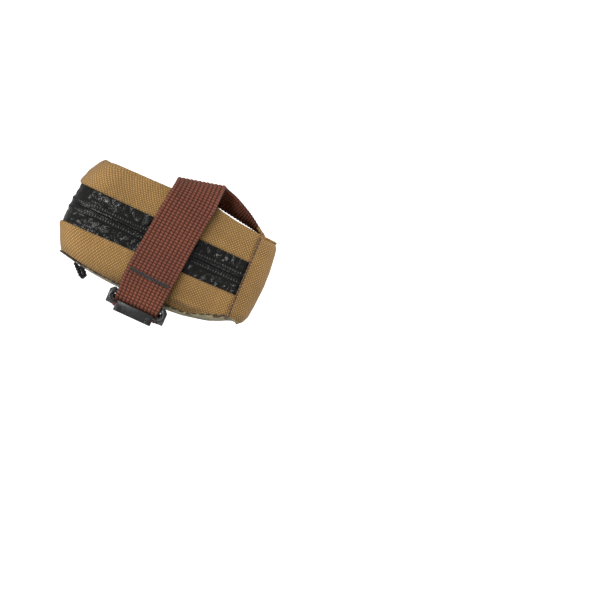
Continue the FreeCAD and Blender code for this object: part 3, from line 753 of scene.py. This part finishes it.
def tube_rings(line, radius, sides):
    """Rings of a round tube along a line of places."""
    line = np.asarray(line, float)
    ahead = np.gradient(line, axis=0)
    ahead /= np.linalg.norm(ahead, axis=1, keepdims=True)
    guide = np.zeros_like(ahead)
    guide[:, 2] = 1.0
    steep = np.abs(ahead[:, 2]) > 0.9
    guide[steep] = (0.0, 1.0, 0.0)
    first = np.cross(ahead, guide)
    first /= np.linalg.norm(first, axis=1, keepdims=True)
    second = np.cross(first, ahead)
    angle = np.arange(sides) * 2 * math.pi / sides
    radius = np.broadcast_to(np.asarray(radius, float), (len(line),))[:, None, None]
    return (line[:, None] + radius * (first[:, None] * np.cos(angle)[None, :, None]
                                      + second[:, None] * np.sin(angle)[None, :, None]))


# ------------------------------------------------------------------ strap

def spline(stations, step):
    """A smooth line through stations of several coordinates, with even steps along the first three."""
    stations = np.asarray(stations, float)
    padded = np.concatenate((2 * stations[:1] - stations[1:2], stations, 2 * stations[-1:] - stations[-2:-1]))
    pieces = []
    for i in range(1, len(padded) - 2):
        t = np.linspace(0, 1, 24, endpoint=False)[:, None]
        before, start, end, after = padded[i - 1:i + 3]
        square = (2 * before - 5 * start + 4 * end - after) * t ** 2
        cube = (3 * start - before - 3 * end + after) * t ** 3
        pieces.append(0.5 * (2 * start + (end - before) * t + square + cube))
    pieces.append(stations[-1:])
    line = np.concatenate(pieces)
    middle = (line[:, :3] + line[:, 3:6]) / 2
    length = np.concatenate(([0], np.cumsum(np.linalg.norm(np.diff(middle, axis=0), axis=1))))
    wanted = np.linspace(0, length[-1], max(int(length[-1] / step), 2) + 1)
    return np.stack([np.interp(wanted, length, line[:, k]) for k in range(line.shape[1])], axis=1), wanted


COLUMNS = 12
ROW = 1.61
WEAVE_HEIGHT = 0.5


def web_relief(u, along, seed):
    """Height of the heavy weave: a grid of rounded bumps, twelve across, every other one standing
    a little higher."""
    rib = u * COLUMNS
    inside = rib - np.floor(rib)
    rows = along / ROW + 0.22 * (inside - 0.5) + 0.06 * wander(u * 25.0, along, 9.0, 71 + seed)
    bump = np.abs(np.sin(math.pi * rows)) ** 0.8
    higher = 0.95 + 0.05 * np.cos(math.pi * (np.floor(rows) + np.floor(rib)))
    return np.sin(math.pi * inside) ** 0.45 * bump * higher


def ribbon(name, stations, seed, step=0.24, thickness=WEBBING_THICK, slot="strap_webbing", body=None,
           wave=0.25):
    """Webbing between two edges. Each station is one edge's place and then the other's, in order
    along the strap; the weave stands up from both faces and the edges are rounded."""
    line, along = spline(stations, step)
    first, second = line[:, :3], line[:, 3:6]
    u = np.linspace(0, 1, COLUMNS * 6 + 1)
    middle = (first + second) / 2
    across_way = second - first
    width = np.linalg.norm(across_way, axis=1, keepdims=True)
    across_way = across_way / width
    ahead = np.gradient(middle, axis=0)
    normal = np.cross(across_way, ahead)
    normal /= np.linalg.norm(normal, axis=1, keepdims=True)
    places = first[None] + (second - first)[None] * u[:, None, None]
    wobble = wave * wander(u[:, None] * 25.0, along[None] + 0.0, 40.0, 81 + seed)
    places = places + normal[None] * wobble[..., None]
    from_edge = np.minimum(u, 1 - u)[:, None] * width[None, :, 0]
    round_off = np.sqrt(np.clip(1 - (1 - np.clip(from_edge / 0.9, 0, 1)) ** 2, 0.06, 1))
    relief = web_relief(u[:, None], along[None], seed)
    half = (thickness / 2 - WEAVE_HEIGHT * 0.5 + WEAVE_HEIGHT * relief) * round_off
    upper = places + normal[None] * half[..., None]
    lower = places - normal[None] * half[..., None]
    ring = np.concatenate((upper, lower[::-1]), axis=0).transpose(1, 0, 2)
    flat = np.stack((u[:, None] * WEBBING + 0 * along[None], along[None] + 0 * u[:, None]), axis=-1)
    cloth = np.concatenate((flat, flat[::-1]), axis=0).transpose(1, 0, 2)
    # The relief also colours the webbing with painted shade and a painted highlight.
    height = np.concatenate((relief, relief[::-1]), axis=0).transpose(1, 0)
    return sweep(name, ring, cloth=cloth, relief=height, body=body, slot=slot)


# Middle of a side strap from the centre plane, its level under the bag, the axis of the buckle's
# sewn bar across the bag, half the thickness of the buckle's bars, and how far the buckle dips.
REACH = 41.4
UNDER_Z = -63.6
LOOP_BAR = (-38.75, -62.95)
BAR_HALF = 1.25
DROOP = math.radians(25.0)
BUCKLE_X = (BUCKLE_LOW[0] + BUCKLE_HIGH[0]) / 2


def leg_edges(y, z, side):
    """The two edges of the leaning strap at a height: the front one, then the rear one."""
    front = float(table(-z, (0.4, 13.1), (26.5, 10.9), (42.7, 9.9), (56.8, 8.9), (65.3, 8.3)))
    rear = float(table(-z, (0.4, -13.3), (35.5, -16.2), (48.3, -17.3), (57.0, -17.1), (61.5, -16.6)))
    return (front, side * y, z, rear, side * y, z)


def crest(side):
    """From the front seam back and up over the rail, and out to the side of the bag."""
    rows = (
        ((43.4, 16.4, -5.4), (43.4, 1.0, -5.2)),
        ((38.9, 16.6, -2.6), (38.3, 1.2, -3.2)),
        ((31.0, 17.0, 2.8), (30.0, 1.8, -2.0)),
        ((20.9, 17.6, 8.2), (14.0, 3.0, 0.0)),
        ((14.4, 18.8, 10.4), (-3.0, 6.5, 2.4)),
        ((12.8, 21.5, 11.0), (-11.5, 14.0, 4.0)),
        ((12.8, 27.0, 10.8), (-12.7, 22.0, 4.6)),
        ((12.9, 33.0, 7.6), (-12.7, 29.0, 3.9)),
        ((13.0, 38.0, 2.6), (-12.8, 35.6, 1.2)),
        ((13.0, 40.9, -4.0), (-13.4, 40.0, -4.2)),
    )
    return [(f[0], side * f[1], f[2], r[0], side * r[1], r[2]) for f, r in rows]


def near_strap():
    """From the front over the right rail, down the side, round the buckle's bar and back up inside."""
    stations = crest(-1)
    for z in (-11.0, -20.0, -30.0, -40.0, -50.0, -57.0, -61.5):
        stations.append(leg_edges(REACH, z, -1))
    bar_y, bar_z = LOOP_BAR
    radius = REACH + bar_y
    for turn in (200, 225, 250, 270, 290, 315, 340, 360):
        y = bar_y + radius * math.cos(math.radians(turn))
        z = bar_z + radius * math.sin(math.radians(turn))
        stations.append(leg_edges(-y, z, -1))
    for y, z in ((36.2, -61.2), (38.2, -58.4), (39.6, -55.6), (39.75, -51.5), (39.75, -47.6)):
        stations.append(leg_edges(y, z, -1))
    piece = ribbon("near_strap", stations, 1)
    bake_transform(piece)
    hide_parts("strap_anchor_right", "strap_hanger_right", "strap_side_right", "strap_loop")


def buckle_place(along, out):
    """Place across the bag from the distance along the buckle and out from its middle plane."""
    y = LOOP_BAR[0] + along * math.cos(DROOP) - out * math.sin(DROOP)
    z = LOOP_BAR[1] - along * math.sin(DROOP) - out * math.cos(DROOP)
    return y, z


def far_strap():
    """From the front over the left rail, under the bag, through the buckle and back to its hem."""
    stations = crest(1)
    for z in (-11.0, -20.0, -30.0, -40.0, -50.0):
        stations.append(leg_edges(REACH, z, 1))
    under = [(y, UNDER_Z) for y in (15.0, 5.0, -6.0, -16.0, -23.0)]
    for y, z in [(40.6, -54.5), (38.4, -58.6), (34.0, -61.6), (26.0, -63.2), *under]:
        stations.append(leg_edges(y, z, 1))
    # Out by the first slot, over the middle bar and back by the second one.
    clear = BAR_HALF + WEBBING_THICK / 2 + 0.15
    weave = ((8.6, -clear), (5.0, -1.9), (4.1, 0.2), (5.2, clear), (8.5, clear + 0.1), (11.6, clear),
             (12.6, 0.2), (12.5, -2.2))
    through = [buckle_place(*spot) for spot in weave]
    tail = [(-19.0, -65.55), (-10.0, -65.6), (0.0, -65.6), (12.0, -65.6), (25.6, -65.6), (27.0, -66.5),
            (25.6, -67.4), (14.0, -67.4)]
    # Inside the buckle the strap lies square to the bars, clear of the ears.
    half = WEBBING / 2 - 0.1
    stations += [(BUCKLE_X + half, y, z, BUCKLE_X - half, y, z) for y, z in [*through, *tail]]
    piece = ribbon("far_strap", stations, 2)
    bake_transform(piece)
    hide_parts("strap_anchor_left", "strap_hanger_left", "strap_side_left", "strap_under",
                "strap_weave", "strap_tail")


def zigzag(name, start, end, half, pitch, radius, body):
    """A bar of close zigzag stitches between two places on the strap's face."""
    chance = np.random.default_rng(90)
    start, end = np.asarray(start, float), np.asarray(end, float)
    count = int(np.linalg.norm(end - start) / pitch)
    spans = []
    for i in range(count):
        spot = start + (end - start) * (i + 0.5) / count
        lean = chance.uniform(-0.25, 0.25)
        step = 0.45 * pitch * (1 if i % 2 else -1)
        reaches = [(chance.uniform(-0.04, 0.04), half * chance.uniform(0.8, 1.0)) for _ in range(2)]
        spans.append((spot + (step + lean * 0.3, *reaches[0]), spot - (step - lean * 0.3, *reaches[1])))
    return capsules(name, spans, radius, body=body)


# ------------------------------------------------------------------ linings and padding

def binding(name, q, z, out, body):
    """Black tape folded over the raw edge of a lining."""
    line = outline(q, z, out)
    rings = tube_rings(np.concatenate((line, line[:1])), 0.75, 8)[:-1]
    sweep(name, rings, closed=True, body=body, slot="lining_fabric")


def liner(name, node, body, edge, turn, flat_z, inset):
    """A lining: a wall just inside the skin from its bound edge to the turn, and then a flat
    ceiling or floor."""
    q = loop_columns(1.4)
    wall = np.linspace(0, 1, 12)[:, None]
    z = edge + (turn - edge) * wall
    sag = 0.35 * wander(q + 0 * wall, z, 19.0, 101)
    places = outline(q + 0 * wall, z, -inset + sag)
    rim = outline(q, turn, -inset)[..., :2]
    share = np.concatenate((np.linspace(0.97, 0.9, 3), np.linspace(0.86, 0.02, 16)))[:, None]
    centre = np.array((-3.0, 0.0))
    flat = centre + (rim[None] - centre) * share[..., None]
    blend_in = ease(1 - share, 0.0, 0.12)
    floor = flat_z if node == "upper_lining" else np.maximum(flat_z, base_level(flat[..., 0]) + 2.4)
    level = turn + (floor - turn) * blend_in + 0.2 * wander(flat[..., 0], flat[..., 1], 21.0, 102) * blend_in
    places = np.concatenate((places, np.concatenate((flat, level[..., None]), axis=-1)))
    depth = np.concatenate((z + 0 * q, turn + 40 * (share - 1) + 0 * q))
    cloth = np.stack((q + 0 * depth, depth), axis=-1)
    inward = np.zeros_like(places)
    inward[..., 2] = turn - edge
    inward[:12] = outline(q + 0 * wall, z, 1) - outline(q + 0 * wall, z, 0)
    piece = sheet_solid(name, places, FABRIC, cloth, closed=True, out=inward, body=body, slot="lining_fabric")
    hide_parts(node)
    binding(name + "_binding", q, edge, -inset - 0.5, body)


def cushion():
    """Foam pad in the base under a sewn cover, puffed up by a cloth simulation."""
    low, high = node_box("base_pad")
    middle = (low + high) / 2
    half = (high - low) / 2 - 0.2
    build = bmesh.new()
    bmesh.ops.create_cube(build, size=2.0)
    bmesh.ops.scale(build, vec=Vector(half * MM), verts=build.verts)
    bmesh.ops.bevel(build, geom=build.edges[:], offset=0.9 * MM, segments=2, affect="EDGES", profile=0.6)
    mesh = bpy.data.meshes.new("base_cushion")
    build.to_mesh(mesh)
    build.free()
    piece = add_object("base_cushion", mesh)
    bpy.context.view_layer.objects.active = piece
    remesh = piece.modifiers.new("cells", "REMESH")
    remesh.mode = "VOXEL"
    remesh.voxel_size = 1.2 * MM
    bpy.ops.object.modifier_apply(modifier="cells")
    count = len(piece.data.vertices)
    rest = np.empty(count * 3, np.float32)
    piece.data.vertices.foreach_get("co", rest)
    rest = rest.reshape(-1, 3)
    cloth = piece.modifiers.new("cover", "CLOTH")
    cloth.settings.use_pressure = True
    cloth.settings.uniform_pressure_force = 4.0
    cloth.settings.effector_weights.gravity = 0.0
    cloth.settings.tension_stiffness = 40
    cloth.settings.compression_stiffness = 40
    cloth.point_cache.frame_start = 1
    cloth.point_cache.frame_end = 20
    for number in range(1, 21):
        bpy.context.scene.frame_set(number)
    bpy.ops.object.modifier_apply(modifier="cover")
    bpy.context.scene.frame_set(1)
    places = np.empty(count * 3, np.float32)
    piece.data.vertices.foreach_get("co", places)
    places = places.reshape(-1, 3)
    move = np.clip(places - rest, -0.35 * MM, 0.35 * MM)
    quilt = np.exp(-((np.abs(rest[:, 0]) / MM - half[0] + 3.0) / 0.7) ** 2)
    quilt = np.maximum(quilt, np.exp(-((np.abs(rest[:, 1]) / MM - half[1] + 3.0) / 0.7) ** 2))
    places = rest + move
    places[:, 2] -= np.sign(rest[:, 2]) * quilt * 0.45 * MM
    piece.data.vertices.foreach_set("co", (places + middle * MM).astype(np.float32).ravel())
    piece.data.materials.append(LOOKS["foam"])
    piece.data.shade_smooth()
    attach(piece, "lower")
    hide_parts("base_pad")


# ------------------------------------------------------------------ buckle and trim

def moulding(name, parts, radius, slot, body, place):
    """Prisms with rounded edges. Each part is its outline, as (a, o) points, and its two ends;
    place turns (end, a, o) into millimetres."""
    build = bmesh.new()
    for corners, start, end in parts:
        part = bmesh.new()
        ends = [[part.verts.new(Vector(place(x, a, o)) * MM) for a, o in corners] for x in (start, end)]
        count = len(corners)
        part.faces.new(ends[0])
        part.faces.new(ends[1][::-1])
        for k in range(count):
            part.faces.new((ends[0][k], ends[1][k], ends[1][(k + 1) % count], ends[0][(k + 1) % count]))
        bmesh.ops.recalc_face_normals(part, faces=part.faces)
        bmesh.ops.bevel(part, geom=part.edges[:], offset=radius * MM, segments=3, affect="EDGES",
                        profile=0.5, clamp_overlap=True)
        mesh = bpy.data.meshes.new("part")
        part.to_mesh(mesh)
        part.free()
        build.from_mesh(mesh)
        bpy.data.meshes.remove(mesh)
    mesh = bpy.data.meshes.new(name)
    build.to_mesh(mesh)
    build.free()
    piece = add_object(name, mesh)
    mesh.materials.append(LOOKS[slot])
    mesh.shade_smooth()
    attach(piece, body)
    return piece


def circle(a, o, radius, sides=14):
    return [(a + radius * math.cos(2 * math.pi * k / sides), o + radius * math.sin(2 * math.pi * k / sides))
            for k in range(sides)]


def box_corners(low, high):
    return [(low[0], low[1]), (high[0], low[1]), (high[0], high[1]), (low[0], high[1])]


def buckle():
    """Sewn bar, middle bar and end bar between two rails, with a release lip between two ears."""
    side, slot_edge, lip = 16.65, 13.3, 10.8
    tongue = [(1.9, 3.7), (5.5, 8.6), (7.6, 7.6), (4.2, 3.3)]
    bars = (circle(0, 0, BAR_HALF), box_corners((7.0, -BAR_HALF), (10.0, BAR_HALF)),
            box_corners((14.0, -BAR_HALF), (15.6, BAR_HALF)))
    rail = box_corners((1.6, -BAR_HALF), (15.2, BAR_HALF))
    parts = [(bar, -slot_edge - 1, slot_edge + 1) for bar in bars]
    parts += [(tongue, -lip, lip), (rail, slot_edge, side), (rail, -side, -slot_edge)]

    def place(x, a, o):
        return (BUCKLE_X + x, *buckle_place(a, o))

    piece = moulding("buckle_moulding", parts, 0.55, "buckle_plastic", "buckle", place)
    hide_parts("buckle_frame")
    # Each ear curls round the end of the slot and in to the lip, with a gap beside the strap.
    hook = [(12.9, -61.7), (13.8, -61.1), (15.2, -61.5), (16.2, -62.8), (16.6, -64.6), (16.4, -66.6),
            (15.5, -68.3), (14.0, -69.3), (12.2, -69.5), (10.4, -69.0), (10.4, -68.0), (12.2, -68.3),
            (13.5, -67.8), (14.5, -66.6), (14.7, -65.2), (14.0, -64.2), (12.9, -64.0)]
    for sign, label in ((-1, "rear"), (1, "front")):
        moulding("buckle_ear_" + label, [(hook, -40.3, -35.2)], 0.6, "buckle_plastic", "buckle",
                 lambda y, u, w: (BUCKLE_X + sign * u, y, w))
    # Grip ridges at both ends of the lip's face.
    ridges = []
    for k in range(4):
        share = 0.42 + 0.15 * k
        a, o = 1.9 + 3.6 * share, 3.7 + 4.9 * share
        ridge = [(a - 0.60, o + 0.10), (a - 0.38, o + 0.55), (a + 0.5, o + 0.1), (a + 0.2, o - 0.35)]
        ridges += [(ridge, -lip + 0.4, -lip + 3.7), (ridge, lip - 3.7, lip - 0.4)]
    moulding("buckle_ridges", ridges, 0.10, "buckle_plastic", "buckle", place)


def rear_tab():
    """Loop of black webbing sewn into the base seam at the rear."""
    path = ((-44.0, -58.7), (-42.4, -60.3), (-40.3, -62.2), (-38.4, -63.9), (-37.2, -64.2), (-36.6, -63.2),
            (-37.0, -62.2), (-38.8, -60.6), (-40.6, -59.0))
    stations = [(x, -9.0, z, x, 9.0, z) for x, z in path]
    piece = ribbon("rear_loop", stations, 3, slot="black_webbing", body="lower", thickness=1.7, wave=0.05)
    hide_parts("rear_tab")


def keeper():
    """Elastic ring that holds the free end of the strap."""
    low, high = node_box("strap_keeper")
    corner = 1.0
    spots = []
    corners = ((high[0], high[2]), (low[0], high[2]), (low[0], low[2]), (high[0], low[2]))
    for (cx, cz), start in zip(corners, (0, 90, 180, 270)):
        for turn in range(0, 91, 15):
            angle = math.radians(start + turn)
            inset_x = corner if cx == low[0] else -corner
            inset_z = corner if cz == low[2] else -corner
            spots.append((cx + inset_x + corner * math.cos(angle), cz + inset_z + corner * math.sin(angle)))
    spots = np.array(spots)
    rows = np.linspace(0, 1, 33)[:, None]
    y = low[1] + 0.1 + (high[1] - low[1] - 0.2) * rows
    rib = 0.07 * np.cos(2 * math.pi * rows * 8) - 0.1
    middle = np.array(((low[0] + high[0]) / 2, (low[2] + high[2]) / 2))
    way = spots - middle
    way = way / np.linalg.norm(way, axis=1, keepdims=True)
    flat = spots[None] + way[None] * rib[..., None]
    places = np.stack((flat[..., 0], y + 0 * flat[..., 0], flat[..., 1]), axis=-1)
    out = np.stack((way[:, 0], 0 * way[:, 0], way[:, 1]), axis=-1)[None] + 0 * places
    cloth = np.stack((y + 0 * flat[..., 0], np.arange(len(spots))[None] + 0 * flat[..., 0]), axis=-1)
    piece = sheet_solid("elastic_keeper", places, THIN, cloth, closed=True, out=out, body="lower",
                        slot="elastic")
    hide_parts("strap_keeper")


def slider():
    """Zipper slider: two plates and a neck, the bridge over the pull, and the pull with its grip."""
    low, high = node_box("slider_body")
    middle = (low[2] + high[2]) / 2
    half = (high[2] - low[2]) / 2

    def plate(size, rear, front):
        upper_side = [(rear, 0.80), (rear + 1.3, 0.98), (rear + 6.0, 1.0), (front - 0.9, 0.82), (front, 0.42)]
        lower_side = [(x, -share) for x, share in upper_side[::-1]]
        return [(x, middle + size * share) for x, share in upper_side + lower_side]

    def facing(y, x, z):
        return (x, y, z)

    neck = box_corners((high[0] - 4.5, middle - 0.3), (high[0] - 0.5, middle + 0.3))
    ridge = [(low[0] + 1.5, middle - 1.6), (high[0] - 2.0, middle - 2.6), (high[0] - 2.0, middle + 2.6),
             (low[0] + 1.5, middle + 1.6)]
    parts = [(plate(half, low[0], high[0]), high[1] - 1.1, high[1]), (ridge, high[1] - 0.3, high[1] + 0.25),
             (plate(half - 0.7, low[0], high[0]), low[1], low[1] + 1.3), (neck, low[1] + 1.2, high[1] - 1.0)]
    piece = moulding("slider_shell", parts, 0.28, "slider_metal", "zip_slider", facing)
    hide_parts("slider_body")

    low, high = node_box("slider_staple")
    leg = 1.0
    arch = [(low[0], low[1]), (low[0], high[1] - 0.7), (low[0] + 0.8, high[1]), (high[0] - 0.8, high[1]),
            (high[0], high[1] - 0.7), (high[0], low[1]), (high[0] - leg, low[1]),
            (high[0] - leg, high[1] - 0.9),
            (high[0] - leg - 0.4, high[1] - 0.6), (low[0] + leg + 0.4, high[1] - 0.6),
            (low[0] + leg, high[1] - 0.9), (low[0] + leg, low[1])]
    piece = moulding("slider_bridge", [(arch, low[2], high[2])], 0.16, "slider_metal", "zip_slider",
                     lambda z, x, y: (x, y, z))
    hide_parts("slider_staple")

    low, high = node_box("pull_ring")
    arm, bridge, bar = 1.2, 1.4, 1.0
    bars = (((high[0] - bridge, low[2]), (high[0], high[2])), ((low[0], low[2]), (high[0], low[2] + arm)),
            ((low[0], high[2] - arm), (high[0], high[2])))
    parts = [(box_corners(*corners), low[1], high[1]) for corners in bars]
    # The cross bar is slimmer, so that it turns under the bridge.
    slim = 0.1
    cross_bar = box_corners((low[0] + slim, low[2] + arm / 2), (low[0] + bar - slim, high[2] - arm / 2))
    parts.append((cross_bar, low[1] + slim, high[1] - slim))
    piece = moulding("pull_link", parts, 0.22, "slider_metal", "zip_pull", facing)
    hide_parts("pull_ring")

    low, high = node_box("pull_grip")
    nose = 1.6
    tab = [(low[0], low[2] + 1.2), (low[0] + 1.5, low[2]), (high[0] - nose, low[2] + 0.4),
           (high[0], low[2] + 0.4 + nose), (high[0], high[2] - 0.4 - nose), (high[0] - nose, high[2] - 0.4),
           (low[0] + 1.5, high[2]), (low[0], high[2] - 1.2)]
    parts = [(tab, low[1] + 0.15, high[1] - 0.15)]
    for x in np.arange(low[0] + 4.0, high[0] - 2.0, 1.3):
        parts.append((box_corners((x, low[2] + 1.2), (x + 0.6, high[2] - 1.2)), low[1], high[1]))
    piece = moulding("pull_tab", parts, 0.14, "grip_rubber", "zip_pull", facing)
    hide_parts("pull_grip")


def band_height(x, y):
    """Height of the middle of the strap's two bands, ahead of the rails."""
    outer = table(x, (31, 2.8), (38.9, -2.6), (43.4, -5.4))
    inner = table(x, (30, -2.0), (38.3, -3.2), (43.4, -5.2))
    return inner + (outer - inner) * np.clip((np.abs(y) - 1.0) / 15.4, 0, 1)


def patch():
    """Strip of the outer cloth sewn over the forward ends of the strap."""
    half = 17.4
    y = np.linspace(-half, half, 90)
    v = np.linspace(0, 1, 12)[:, None]
    x = 37.0 + 5.2 * v + 0 * y
    z = band_height(x, y) + 1.15 - 1.8 * ease(np.abs(y), half - 0.8, half)
    z = z + 0.05 * wander(y + 0 * v, x, 9.0, 131)
    places = np.stack((x, y + 0 * v, z), axis=-1)
    cloth = np.stack((x, y + 0 * v), axis=-1)
    piece = sheet_solid("anchor_cloth", places, THIN, cloth, out=UPWARD, body="upper", slot="tan_nylon")
    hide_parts("anchor_patch")
    for row, edge in enumerate((37.7, 41.2)):
        spans = [[(edge, y, band_height(edge, y) + 1.25) for y in (spot, spot + 1.4)]
                 for spot in np.arange(-16.2, 16.0, 2.0)]
        capsules(f"anchor_stitches_{row}", spans, 0.2, body="upper")


# ------------------------------------------------------------------ camera, light and finish

# How far the camera is rolled, and how wide the picture is at the bag, in metres.
PITCH = math.radians(24.7)
FRAME_WIDTH = 0.318


def camera_and_light():
    """Level with the bag's right side but rolled, so that the bag stands as it hangs on a tilted saddle."""
    scene = bpy.context.scene
    right = Vector((math.cos(PITCH), 0, math.sin(PITCH)))
    up = Vector((-math.sin(PITCH), 0, math.cos(PITCH)))
    toward = right.cross(up)
    turn = Matrix((right, up, toward)).transposed()
    camera = add_object("camera", bpy.data.cameras.new("camera"))
    distance = 5.0
    camera.data.sensor_width = 36
    camera.data.lens = camera.data.sensor_width * distance / FRAME_WIDTH
    camera.data.clip_end = 40
    camera.matrix_world = Matrix.Translation(Vector((0.0735, -0.04 - distance, -0.0269))) @ turn.to_4x4()
    scene.camera = camera

    world = bpy.data.worlds.new("studio")
    world.use_nodes = True
    world.node_tree.nodes["Background"].inputs[0].default_value = (1, 1, 1, 1)
    world.node_tree.nodes["Background"].inputs[1].default_value = 0.5
    scene.world = world
    scene.view_settings.view_transform = "Standard"

    def board(name, size, place, facing, emission):
        mesh = bpy.data.meshes.new(name)
        half = size / 2
        corners = [(-half, -half, 0), (half, -half, 0), (half, half, 0), (-half, half, 0)]
        mesh.from_pydata(corners, [], [(0, 1, 2, 3)])
        shader = Shader(name, roughness=0.9, Base_Color=(0.82, 0.82, 0.81, 1), Emission_Color=(1, 1, 1, 1),
                        Emission_Strength=emission)
        mesh.materials.append(shader.material)
        piece = add_object(name, mesh)
        piece.matrix_world = Matrix.Translation(place) @ facing.to_track_quat("Z", "Y").to_matrix().to_4x4()

    board("backdrop", 3.0, Vector((0.07, 8.0, -0.03)), Vector((0, -1, 0)), 1.0)
    board("floor", 0.6, Vector((0, 0, -0.03)) - up * 0.9, up, 0.0)

    def softbox(name, from_place, size, power):
        light = add_object(name, bpy.data.lights.new(name, "AREA"))
        light.data.shape = "DISK"
        light.data.size = size
        light.data.energy = power
        target = Vector((0, 0, -0.03))
        place = target + right * from_place[0] + up * from_place[1] + Vector((0, from_place[2], 0))
        turn_to = (target - place).to_track_quat("-Z", "Y").to_matrix().to_4x4()
        light.matrix_world = Matrix.Translation(place) @ turn_to

    softbox("key_light", (-0.35, 0.80, -1.0), 0.40, 7.4)
    softbox("side_light", (-1.0, 0.10, -0.55), 0.45, 6.0)
    softbox("spark_light", (-0.42, 0.04, -1.4), 0.22, 5.0)
    softbox("rim_light", (1.0, 0.15, 0.10), 0.5, 7.0)


upper_panel()
lower_panel()
top_cloth()
base_cloth()
front_cloth()
front_seam(-1, "front_seam_right")
front_seam(1, "front_seam_left")
base_stitches()
zip_tape(1, "upper_zip_film", "upper_zip_tape", "upper")
zip_tape(-1, "lower_zip_film", "lower_zip_tape", "lower")
near_strap()
far_strap()
zigzag("loop_stitches", (-15.6, -42.8, -49.2), (7.6, -42.8, -49.9), 0.9, 0.5, 0.27, "lower")
liner("upper_liner", "upper_lining", "upper", -24.6, -7.2, -7.0, 2.6)
liner("lower_liner", "lower_lining", "lower", -35.0, -49.8, -58.2, 2.6)
zip_coil(1, "upper_coil", "upper_zip_coil", "upper")
zip_coil(-1, "lower_coil", "lower_zip_coil", "lower")
cushion()
buckle()
rear_tab()
keeper()
patch()
slider()
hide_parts("loop_stitching")
for node, slot in (("zip_end_stops", "slider_metal"), ("top_stiffener", "board")):
    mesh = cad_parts[node].data
    mesh.materials.clear()
    mesh.materials.append(LOOKS[slot])
camera_and_light()
